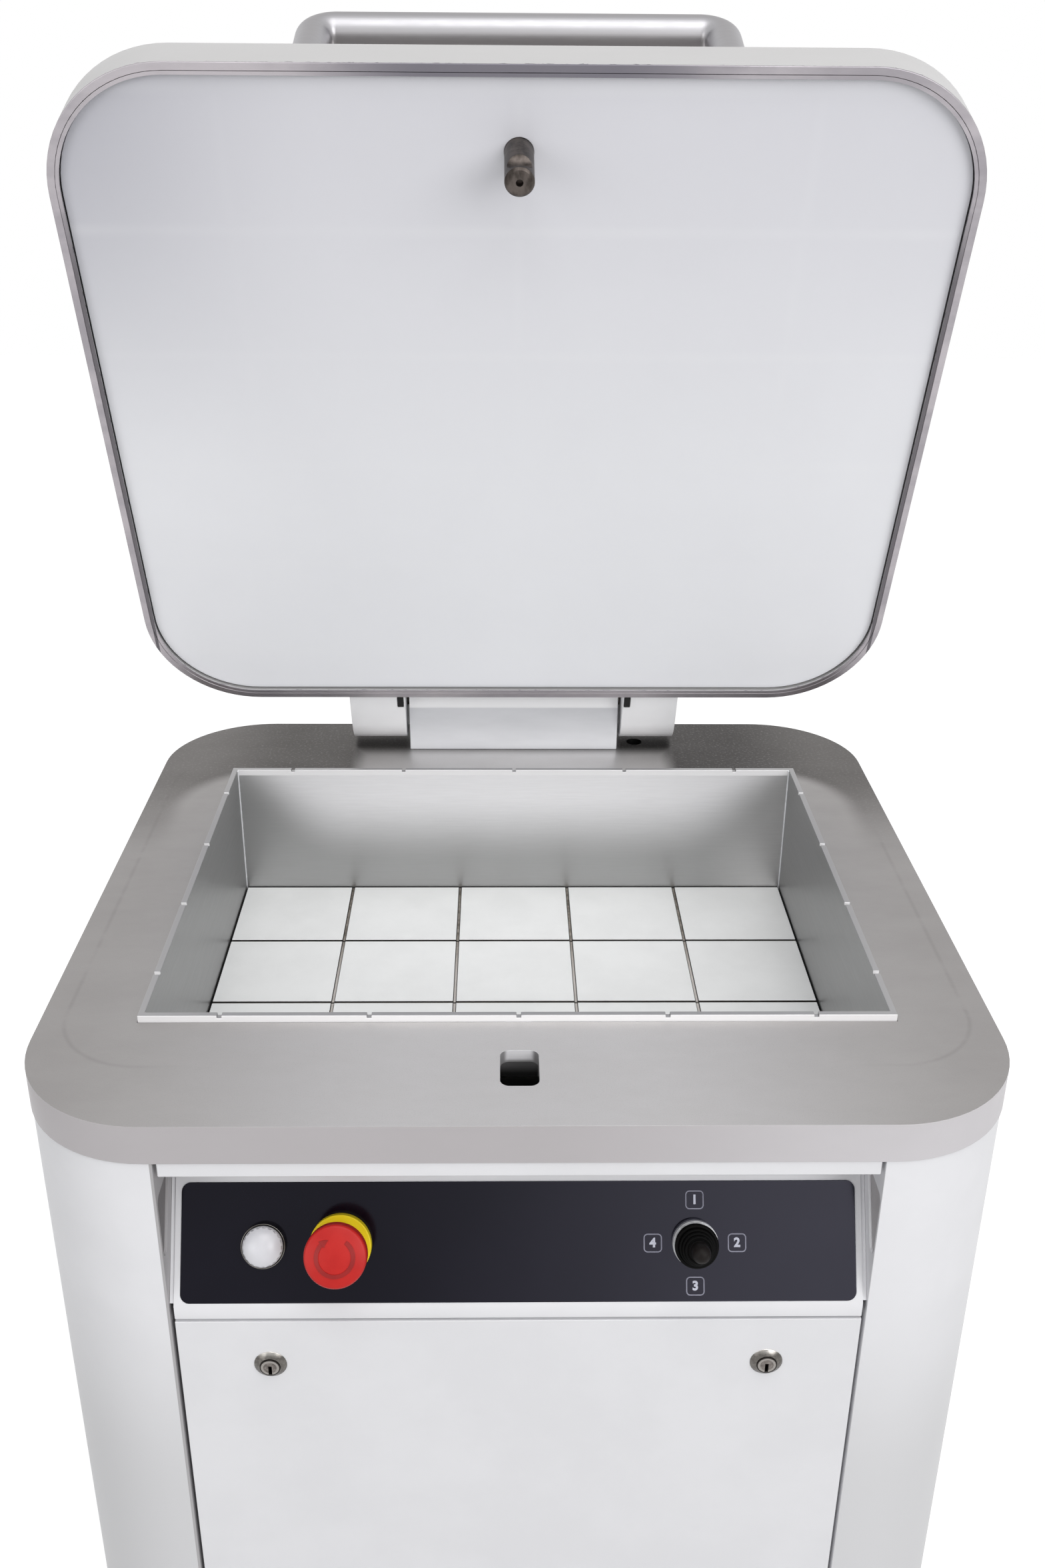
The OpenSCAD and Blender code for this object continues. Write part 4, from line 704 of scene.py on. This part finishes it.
def makeRing(name, look):
    material, tree, place = startMaterial(name)
    chrome = calc(tree, "GREATER_THAN", fromAxis(tree, place, joystickPivot, slopeOut), look["boreRadius"])
    scuff = noise(tree, place, look["scale"])
    metal = mix(tree, cloudy(tree, scuff), look["chromeDark"], look["chrome"])
    metallic = times(tree, chrome, look["metallic"])
    return finishMaterial(material, look, mix(tree, chrome, look["black"], metal), scuff, None, metallic)


# Hinge block: satin aluminium, with a painted highlight where its top bends back

hingeLook = {
    "scale": 60,
    "face": rgb(224, 225, 229),
    "faceShade": rgb(218, 219, 223),
    "brush": (0.25, 1, 1),
    # Painted highlight on the block's rounded top
    "bend": rgb(252, 252, 254),
    "bendHighlightLevel": (0.9412, 0.9436),
    "metallic": 0.3,
    "rough": (0.36, 0.44),
    "depth": 0.00001,
}


def makeHinge(name, look):
    material, tree, place = startMaterial(name)
    brushed = noise(tree, stretched(tree, place, look["brush"]), look["scale"], 4.0)
    colour = mix(tree, cloudy(tree, brushed), look["faceShade"], look["face"])
    bend = spread(tree, parts(tree, place)["Z"], *look["bendHighlightLevel"])
    metallic = spread(tree, bend, 0, 1, look["metallic"], 0, False)
    return finishMaterial(material, look, mix(tree, bend, colour, look["bend"]), brushed, None, metallic)


# Press blocks: white on top, dark down their sides as painted shade of the narrow gaps between them

blockLook = {
    "scale": 22,
    "grain": 900,
    "topFacing": (0.2, 0.65),
    "light": rgb(243, 244, 243),
    "shade": rgb(238, 239, 238),
    # Painted shade: the dark sides stand for the shade in the gaps between the blocks
    "side": rgb(46, 43, 40),
    "rough": (0.34, 0.4),
    "depth": 0.00001,
}


def makeBlocks(name, look):
    material, tree, place = startMaterial(name)
    cloud = noise(tree, place, look["scale"], 4.0)
    white = mix(tree, cloudy(tree, cloud), look["shade"], look["light"])
    # Painted shade on the sides
    upward = absolute(tree, objectNormal(tree)["Z"])
    colour = fade(tree, upward, look["topFacing"], look["side"], white)
    return finishMaterial(material, look, colour, cloud, noise(tree, place, look["grain"], 2.0))


# Knives: bright sides and stained edges, darker in the rows that run across; painted glints make the edges
# lighter at the front than at the back

knifeLook = {
    "scale": 140,
    "edgeFacing": (0.3, 0.6),
    "light": rgb(168, 161, 152),
    "dark": rgb(112, 106, 98),
    "side": rgb(182, 182, 184),
    # Painted glints: edges lighter at the front, also in the rows across
    "front": rgb(204, 199, 193),
    "row": rgb(62, 58, 55),
    "rowFront": rgb(106, 102, 98),
    "rowHalf": 0.0012,
    "fade": (0.03, 0.115),      # from the front tones to the back ones
    "rough": (0.4, 0.52),
    "depth": 0.00003,
}


def makeKnives(name, look):
    material, tree, place = startMaterial(name, 1.0)
    stain = noise(tree, place, look["scale"], 4.0, 0.65)
    colour = mix(tree, cloudy(tree, stain), look["dark"], look["light"])
    along = parts(tree, place)["Y"]
    step = lidPlateLook["bandStep"][1]
    cell = calc(tree, "FLOORED_MODULO", calc(tree, "ADD", along, step / 2), step)
    row = calc(tree, "COMPARE", cell, step / 2, look["rowHalf"])
    # Painted glints towards the front
    front = spread(tree, along, *look["fade"], 1, 0)
    colour = mix(tree, front, colour, look["front"])
    rowColour = mix(tree, front, look["row"], look["rowFront"])
    edge = mix(tree, row, colour, rowColour)
    colour = fade(tree, objectNormal(tree)["Z"], look["edgeFacing"], look["side"], edge)
    return finishMaterial(material, look, colour, stain)


# Lock domes: dull nickel with a painted highlight on the crown and painted shade down the sides

domeLook = {
    "scale": 500,
    # Painted shade down the sides, painted highlight on the crown
    "side": rgb(88, 85, 82),
    "sideLight": rgb(110, 107, 103),
    "crown": rgb(222, 219, 214),
    "crownHighlightFrom": (0.45, 0.8),
    "rough": (0.2, 0.28),
    "depth": 0.00001,
}


def makeDome(name, look):
    material, tree, place = startMaterial(name, 1.0)
    worn = noise(tree, place, look["scale"], 4.0, 0.6)
    colour = mix(tree, cloudy(tree, worn), look["side"], look["sideLight"])
    colour = fade(tree, objectNormal(tree)["Z"], look["crownHighlightFrom"], colour, look["crown"])
    return finishMaterial(material, look, colour, worn)


# Lock plugs: a worn core inside a paler ring, with painted shade for the gap round the plug

plugLook = {
    "scale": 420,
    "core": rgb(84, 79, 76),
    "coreLight": rgb(132, 126, 122),
    "ring": rgb(146, 142, 138),
    # Painted shade: the dark line of the gap round the plug
    "groovePaintedShade": rgb(44, 41, 39),
    "ringInner": (0.0043, 0.0046),
    "ringOuter": (0.0058, 0.0061),
    "rough": (0.28, 0.4),
    "depth": 0.00004,
}


def makePlug(name, jointName, look):
    material, tree, place = startMaterial(name, 1.0)
    radius = fromAxis(tree, place, joints[jointName]["pos_m"], (0, 1, 0))
    worn = noise(tree, place, look["scale"], 4.0, 0.65)
    colour = mix(tree, cloudy(tree, worn), look["core"], look["coreLight"])
    colour = fade(tree, radius, look["ringInner"], colour, look["ring"])
    colour = fade(tree, radius, look["ringOuter"], colour, look["groovePaintedShade"])
    return finishMaterial(material, look, colour, worn)


# Castor wheel: a grey core inside a black tyre, told apart by the distance from the axle

wheelLook = {
    "scale": 120,
    "scuffFrom": (0.5, 0.8),
    "core": rgb(150, 152, 154),
    "tyre": rgb(34, 34, 35),
    "coreRadius": 0.034,
    "scuff": rgb(96, 95, 92),
    "scuffTone": 0.2,
    "rough": (0.4, 0.6),
    "depth": 0.0001,
}


def makeWheel(name, jointName, look):
    material, tree, place = startMaterial(name)
    radius = fromAxis(tree, place, joints[jointName]["pos_m"], (1, 0, 0))
    tyre = calc(tree, "GREATER_THAN", radius, look["coreRadius"])
    scuff = noise(tree, place, look["scale"], 4.0)
    colour = mix(tree, tyre, look["core"], look["tyre"])
    scuffed = spread(tree, scuff, *look["scuffFrom"], 0, look["scuffTone"])
    colour = mix(tree, scuffed, colour, look["scuff"])
    return finishMaterial(material, look, colour, scuff)


special = [
    ("lidCoat", makeLidCoat, lidLook),
    ("plateMetal", makePlateMetal, plateLook),
    ("panSteel", makePanSteel, panLook),
    ("lidPlate", makeLidPlate, lidPlateLook),
    ("labelFilm", makeLabelFilm, labelLook),
    ("handleSteel", makeHandle, handleLook),
    ("ringChrome", makeRing, ringLook),
    ("hingeMetal", makeHinge, hingeLook),
    ("blockPlastic", makeBlocks, blockLook),
    ("knifeSteel", makeKnives, knifeLook),
    ("domeNickel", makeDome, domeLook),
]

for name, maker, look in special:
    surfaces[name] = maker(name, look)
for word, side in (("Left", "left"), ("Right", "right")):
    surfaces["cover" + word] = makeCover("cover" + word, coverLook, side == "left")
    surfaces["plug" + word] = makePlug("plug" + word, "lock_%s_turn" % side, plugLook)
    surfaces["wheel" + word] = makeWheel("wheel" + word, "wheel_%s_roll" % side, wheelLook)
print("special finishes made")


# Dress the frame: a finish and rounded edges for each piece, with the rounding in metres

dressing = [
    ("lid_shell", "lidCoat", 0.0006),
    ("lid_press_plate", "lidPlate", 0.0015),
    ("lid_pin", "pinSteel", 0.0004),
    ("lid_handle", "handleSteel", 0.0003),
    ("hinge_block", "hingeMetal", 0.0008),
    ("hinge_arms", "armPaint", 0.0005),
    ("hinge_plugs", "blackPlastic", 0.0005),
    ("arm_screws hinge_shaft", "darkSteel", 0.0006),
    ("hinge_spring", "darkSteel", 0.0),
    ("top_plate", "plateMetal", 0.0024),
    ("pan", "panSteel", 0.0005),
    ("press_blocks", "blockPlastic", 0.0004),
    ("knife_grid", "knifeSteel", 0.0002),
    ("side_cover_left", "coverLeft", 0.0008),
    ("side_cover_right", "coverRight", 0.0008),
    ("front_panel rear_panel", "bodyPaint", 0.0008),
    ("header_rail control_console", "bodyPaint", 0.0014),
    ("console_label", "labelFilm", 0.0001),
    ("button_bezel", "nickel", 0.0006),
    ("start_button", "buttonWhite", 0.0016),
    ("stop_head", "stopRed", 0.0016),
    ("stop_collar", "stopYellow", 0.0008),
    ("stop_plunger", "blackPlastic", 0.0004),
    ("joystick_ring", "ringChrome", 0.0005),
    ("joystick_gimbal", "darkSteel", 0.0003),
    ("joystick_lever", "leverPlastic", 0.0004),
    ("joystick_gaiter", "blackRubber", 0.0),
    ("lock_housings", "domeNickel", 0.0006),
    ("lock_plug_left", "plugLeft", 0.0003),
    ("lock_plug_right", "plugRight", 0.0003),
    ("panel_screws", "brightSteel", 0.0005),
    ("power_inlet lid_sensor", "blackPlastic", 0.0006),
    ("base_frame", "framePaint", 0.0008),
    ("press_platform knife_carrier main_cylinder knife_cylinders oil_tank", "framePaint", 0.0010),
    ("guide_rods main_piston knife_pistons knife_lift_rods block_stems oil_pipes", "brightSteel", 0.0004),
    ("latch_bolt", "brightSteel", 0.0),
    ("latch_housing oil_pump", "darkSteel", 0.0006),
    ("valve_block", "valveMetal", 0.0008),
    ("pump_motor", "motorPaint", 0.0020),
    ("control_box", "boxPlastic", 0.0030),
    ("platform_bushes carrier_bushes", "bronze", 0.0003),
    ("levelling_feet castor_forks", "darkSteel", 0.0008),
    ("castor_wheel_left", "wheelLeft", 0.0030),
    ("castor_wheel_right", "wheelRight", 0.0030),
]

edgeLook = {
    "segments": 3,
    "sharp": 32,        # degrees from which an edge is rounded
    "flat": 0.3,        # degrees up to which faces become one
    "weld": 0.00001,
}


def soften(piece, edge, look):
    mesh = piece.data
    for face in mesh.polygons:
        face.use_smooth = True
    for extra in ("custom_normal", "sharp_edge", "sharp_face"):
        if extra in mesh.attributes:
            mesh.attributes.remove(mesh.attributes[extra])
    weld = piece.modifiers.new("weld", "WELD")
    weld.merge_threshold = look["weld"]
    flat = piece.modifiers.new("flat", "DECIMATE")
    flat.decimate_type = "DISSOLVE"
    flat.angle_limit = math.radians(look["flat"])
    if edge > 0:
        rounding = piece.modifiers.new("rounding", "BEVEL")
        rounding.width = edge
        rounding.segments = look["segments"]
        rounding.limit_method = "ANGLE"
        rounding.angle_limit = math.radians(look["sharp"])
        rounding.harden_normals = True


for names, finish, edge in dressing:
    for name in names.split():
        nodes[name].data.materials.clear()
        nodes[name].data.materials.append(surfaces[finish])
        soften(nodes[name], edge, edgeLook)
print("frame dressed")


# New pieces are meshes in the frame's own place, riding on a body and finished from one slot

def putPiece(name, mesh, finish, body, smooth=True):
    mesh.materials.append(surfaces[finish])
    for face in mesh.polygons:
        face.use_smooth = smooth
    piece = addObject(name, mesh)
    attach(piece, body)
    return piece


# Rings of points become a closed skin: looped joins the last ring to the first, else both ends get a face

def addRings(work, rings, looped):
    rows = [[work.verts.new(spot) for spot in ring] for ring in rings]
    following = rows[1:] + rows[:1] if looped else rows[1:]
    for row, after in zip(rows, following):
        for index in range(len(row)):
            other = (index + 1) % len(row)
            work.faces.new((row[index], row[other], after[other], after[index]))
    if not looped:
        work.faces.new(rows[0])
        work.faces.new(rows[-1])


def meshFrom(name, *skins, looped=True):
    work = bmesh.new()
    for rings in skins:
        addRings(work, rings, looped)
    bmesh.ops.recalc_face_normals(work, faces=work.faces)
    mesh = bpy.data.meshes.new(name)
    work.to_mesh(mesh)
    work.free()
    return mesh


def roundedBox(halfX, halfY, radius, steps):
    points = []
    for quarter, (signX, signY) in enumerate(((1, 1), (-1, 1), (-1, -1), (1, -1))):
        for step in range(steps + 1):
            angle = (quarter + step / steps) * math.pi / 2
            points.append((signX * (halfX - radius) + radius * math.cos(angle),
                           signY * (halfY - radius) + radius * math.sin(angle)))
    return points


def slopeMatrix(origin):
    turn = Matrix((slopeRight, slopeUp, slopeOut)).transposed().to_4x4()
    return Matrix.Translation(origin) @ turn


# Marks round the joystick: a numeral in a rounded frame at each side

markLook = {
    "reach": 0.0273,
    "side": 0.0119,
    "corner": 0.0026,
    "line": 0.0007,
    "height": 0.00012,
    "numeral": 0.0080,
    "boldness": 0.042,
    "cornerSteps": 6,
}


def frameMesh(name, look, matrix):
    loops = []
    for inset in (0, look["line"]):
        half = look["side"] / 2 - inset
        loops.append(roundedBox(half, half, look["corner"] - inset, look["cornerSteps"]))
    outer, inner = loops
    rings = []
    for loop, level in ((outer, 0), (outer, look["height"]), (inner, look["height"]), (inner, 0)):
        rings.append([matrix @ Vector((x, y, level)) for x, y in loop])
    return meshFrom(name, rings)


def numeralMesh(name, figure, look, matrix):
    curve = bpy.data.curves.new(name, "FONT")
    curve.body = figure
    curve.size = look["numeral"]
    curve.align_x = "CENTER"
    curve.align_y = "CENTER"
    curve.offset = look["numeral"] * look["boldness"]
    curve.extrude = look["height"] / 2
    drawn = addObject(name, curve)
    bpy.context.view_layer.update()
    mesh = bpy.data.meshes.new_from_object(drawn.evaluated_get(bpy.context.evaluated_depsgraph_get()))
    mesh.transform(matrix @ Matrix.Translation((0, 0, look["height"] / 2)))
    bpy.data.objects.remove(drawn)
    return mesh


def makeMarks(look):
    centre = joystickPivot + slopeOut * labelLevel
    for number, side in enumerate((slopeUp, slopeRight, -slopeUp, -slopeRight), 1):
        matrix = slopeMatrix(centre + side * look["reach"])
        name = "markFrame%d" % number
        putPiece(name, frameMesh(name, look, matrix), "markLine", "cabinet", False)
        name = "markNumeral%d" % number
        mesh = numeralMesh(name, str(number), look, matrix)
        putPiece(name, mesh, "markPrint", "cabinet", False)


makeMarks(markLook)
print("joystick marks placed")


# Thick lowest fold of the joystick's rubber, which leans over the ring

foldLook = {
    "height": 0.0148,       # above the pivot
    "radius": 0.0126,
    "thick": 0.0016,
    "around": 64,
    "across": 14,
}


def makeFold(look):
    matrix = slopeMatrix(joystickPivot + slopeOut * look["height"])
    rings = []
    for step in range(look["around"]):
        angle = step / look["around"] * 2 * math.pi
        ring = []
        for turn in range(look["across"]):
            bend = turn / look["across"] * 2 * math.pi
            radius = look["radius"] + look["thick"] * math.cos(bend)
            lift = look["thick"] * math.sin(bend)
            ring.append(matrix @ Vector((radius * math.cos(angle), radius * math.sin(angle), lift)))
        rings.append(ring)
    putPiece("gaiterFold", meshFrom("gaiterFold", rings), "blackRubber", "lever")


makeFold(foldLook)
print("gaiter fold placed")


# Turning arrow on the stop button, raised on its dome, in a darker red that is painted shade

arrowLook = {
    "radius": 0.0115,
    "width": 0.0026,
    "height": 0.00045,
    "sink": 0.0003,
    "arc": (-224, 54),      # head and tail, in degrees from the slope's right
    "head": 0.0052,
    "headSpans": (0, 0.25, 0.5, 0.75, 0.97),
    "steps": 48,
    "dome": 0.070,
    "rounding": 0.00015,
}


def makeArrow(look):
    crown = max(heightsOf("stop_head", stopTop, slopeOut))
    matrix = slopeMatrix(stopTop + slopeOut * crown)
    middle = look["radius"]

    def section(half, angle):
        ring = []
        for radius, lift in ((middle - half, -look["sink"]), (middle - half, look["height"]),
                             (middle + half, look["height"]), (middle + half, -look["sink"])):
            drop = radius * radius / (2 * look["dome"])
            ring.append(matrix @ Vector((radius * math.cos(angle), radius * math.sin(angle), lift - drop)))
        return ring

    start, end = (math.radians(angle) for angle in look["arc"])
    shaft = []
    for step in range(look["steps"] + 1):
        shaft.append(section(look["width"] / 2, start + (end - start) * step / look["steps"]))
    head = []
    for span in look["headSpans"]:
        head.append(section(look["head"] * (1 - span) / 2, start - span * look["head"] / middle))
    mesh = meshFrom("stopArrow", shaft, head, looped=False)
    piece = putPiece("stopArrow", mesh, "arrowRedPaintedShade", "stop_knob", False)
    rounding = piece.modifiers.new("rounding", "BEVEL")
    rounding.width = look["rounding"]
    rounding.segments = 2


makeArrow(arrowLook)
print("stop arrow placed")


# Weld beads in the pan's inner corners

weldLook = {
    "leg": 0.0011,
    "hollow": 0.42,     # of the leg
    "rows": 60,
    "wave": 0.12,
    "ripples": (2.1, 0.73),
    "start": 0.004,     # below the blocks' top
    "clear": 0.0006,    # below the rim
    "wallDepth": 0.02,  # where the pan's wall is measured, below the rim
}


def insideCorner(look):
    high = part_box("press_blocks")[1]
    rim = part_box("pan")[1].z
    inner = [vertex.co for vertex in nodes["pan"].data.vertices if vertex.co.z < rim - look["wallDepth"]]
    return [min(abs(spot[axis]) for spot in inner if abs(spot[axis]) > high[axis]) for axis in (0, 1)]


def makeWelds(look):
    reachX, reachY = insideCorner(look)
    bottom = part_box("press_blocks")[1].z - look["start"]
    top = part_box("pan")[1].z - look["clear"]
    fast, slow = look["ripples"]
    for number, (sideX, sideY) in enumerate(((-1, -1), (1, -1), (-1, 1), (1, 1)), 1):
        rings = []
        for row in range(look["rows"] + 1):
            level = bottom + (top - bottom) * row / look["rows"]
            leg = look["leg"] * (1 + look["wave"] * math.sin(row * fast + number) * math.sin(row * slow))
            dent = leg * look["hollow"]
            outline = ((0, 0), (leg, 0), (dent, dent), (0, leg))
            rings.append([(sideX * (reachX - x), sideY * (reachY - y), level) for x, y in outline])
        name = "panWeld%d" % number
        putPiece(name, meshFrom(name, rings, looped=False), "weldSteel", "cabinet")


makeWelds(weldLook)
print("pan welds placed")


# Shields behind the windows in the cover folds, grey with the painted shade inside the covers, and strips in
# the gaps beside the console

shieldLook = {
    "behind": 0.0018,       # behind the fold's inner face
    "thickness": 0.001,
    "front": -0.3070,
    "back": -0.2450,
    "bottom": 0.760,
    "top": 0.856,
}

stripLook = {
    "clear": 0.0002,
    "below": 0.0016,        # below the console's face
    "depth": 0.010,
    "reach": (-0.037, 0.074),       # down and up the slope from the joystick
}


def slabMesh(name, across, outline):
    return meshFrom(name, [[(x, y, z) for y, z in outline] for x in across], looped=False)


def makeShields(look, strip):
    fold = min(sidesOf("side_cover_right"))
    console = max(sidesOf("control_console"))
    window = [(look["front"], look["bottom"]), (look["front"], look["top"]),
              (look["back"], look["top"]), (look["back"], look["bottom"])]
    face = joystickPivot + slopeOut * (labelLevel - strip["below"])
    inward = slopeOut * strip["depth"]
    low, high = (face + slopeUp * reach for reach in strip["reach"])
    gap = [(spot.y, spot.z) for spot in (low, high, high - inward, low - inward)]
    inner = fold + look["behind"]
    # The window sheets carry painted shade, darker on the left
    for word, side, finish in (("Left", -1, "shieldPaintedShadeDark"), ("Right", 1, "shieldPaintedShadePale")):
        name = "windowShadeSheet" + word
        across = (side * inner, side * (inner + look["thickness"]))
        putPiece(name, slabMesh(name, across, window), finish, "cabinet", False)
        name = "consoleStrip" + word
        across = (side * (console + strip["clear"]), side * (fold - strip["clear"]))
        putPiece(name, slabMesh(name, across, gap), "bodyPaint", "cabinet", False)


makeShields(shieldLook, stripLook)
print("shields and strips placed")


def makeBead(look):
    alongs = heightsOf("lid_press_plate", hingePoint, lidBack)
    half = (max(alongs) - min(alongs)) / 2
    middle = (max(alongs) + min(alongs)) / 2
    inner, outer = (roundedBox(plateSide + grow, half + grow, look["corner"] + grow, look["cornerSteps"])
                    for grow in (look["clear"], look["width"]))
    near = rimLevel + look["below"]
    far = near + look["thickness"]
    rings = []
    for loop, height in ((inner, near), (outer, near), (outer, far), (inner, far)):
        ring = []
        for across, along in loop:
            spot = hingePoint + lidBack * (middle + along) + lidUp * height
            ring.append((across, spot.y, spot.z))
        rings.append(ring)
    putPiece("lidBead", meshFrom("lidBead", rings), "lidCoat", "lid", False)


makeBead(beadLook)
print("lid bead placed")


# Studio: white surroundings, a pale floor that keeps the shadow, and large soft lamps

studio = {
    "around": 0.61,         # light from the surroundings on the object
    "aside": 0.29,          # the same from the sides
    "asideFrom": (0.35, 0.95),
    "floorSize": 16.0,
    "floorGlow": 0.75,
    "floorColour": (0.5, 0.5, 0.5, 1),
    "aim": (0, 0, 0.95),
}

lamps = [
    {"name": "keySoftbox", "place": (1.9, -2.4, 2.1), "size": 2.2, "power": 40},
    {"name": "fillSoftbox", "place": (-2.2, -2.3, 1.5), "size": 2.0, "power": 16},
    {"name": "topSoftbox", "place": (0.2, -1.1, 3.3), "size": 2.0, "power": 24},
]


def backgroundRay(tree):
    path = add(tree, "ShaderNodeLightPath")
    seen = calc(tree, "MAXIMUM", path.outputs["Is Camera Ray"], path.outputs["Is Glossy Ray"])
    return calc(tree, "MAXIMUM", seen, path.outputs["Is Transmission Ray"])


def makeWorld(values):
    world = bpy.data.worlds.new("studioWorld")
    scene.world = world
    world.use_nodes = True
    tree = world.node_tree
    background = tree.nodes["Background"]
    background.inputs["Color"].default_value = (1, 1, 1, 1)
    direction = add(tree, "ShaderNodeTexCoord").outputs["Generated"]
    sideways = absolute(tree, parts(tree, direction)["X"])
    light = spread(tree, sideways, *values["asideFrom"], values["around"], values["aside"])
    tree.links.new(spread(tree, backgroundRay(tree), 0, 1, light, 1, False), background.inputs["Strength"])


def makeFloor(values):
    mesh = bpy.data.meshes.new("studioFloor")
    half = values["floorSize"] / 2
    corners = [(-half, -half, 0), (half, -half, 0), (half, half, 0), (-half, half, 0)]
    mesh.from_pydata(corners, [], [(0, 1, 2, 3)])
    floor = addObject("studioFloor", mesh)
    material = bpy.data.materials.new("floorWhite")
    material.use_nodes = True
    tree = material.node_tree
    tree.nodes.clear()
    output = add(tree, "ShaderNodeOutputMaterial")
    soft = add(tree, "ShaderNodeBsdfDiffuse", {"Color": values["floorColour"]}).outputs[0]
    glow = add(tree, "ShaderNodeEmission", {"Strength": values["floorGlow"]}).outputs[0]
    white = add(tree, "ShaderNodeAddShader", {0: soft, 1: glow}).outputs[0]
    shown = add(tree, "ShaderNodeMixShader", {0: backgroundRay(tree), 1: soft, 2: white}).outputs[0]
    tree.links.new(shown, output.inputs["Surface"])
    mesh.materials.append(material)


def makeLamps(values, aim):
    for lamp in values:
        data = bpy.data.lights.new(lamp["name"], "AREA")
        data.shape = "DISK"
        data.size = lamp["size"]
        data.energy = lamp["power"]
        thing = addObject(lamp["name"], data)
        thing.location = lamp["place"]
        direction = Vector(aim) - Vector(lamp["place"])
        thing.rotation_euler = direction.to_track_quat("-Z", "Y").to_euler()


makeWorld(studio)
makeFloor(studio)
makeLamps(lamps, studio["aim"])
scene.view_settings.view_transform = "Standard"
print("studio lit")
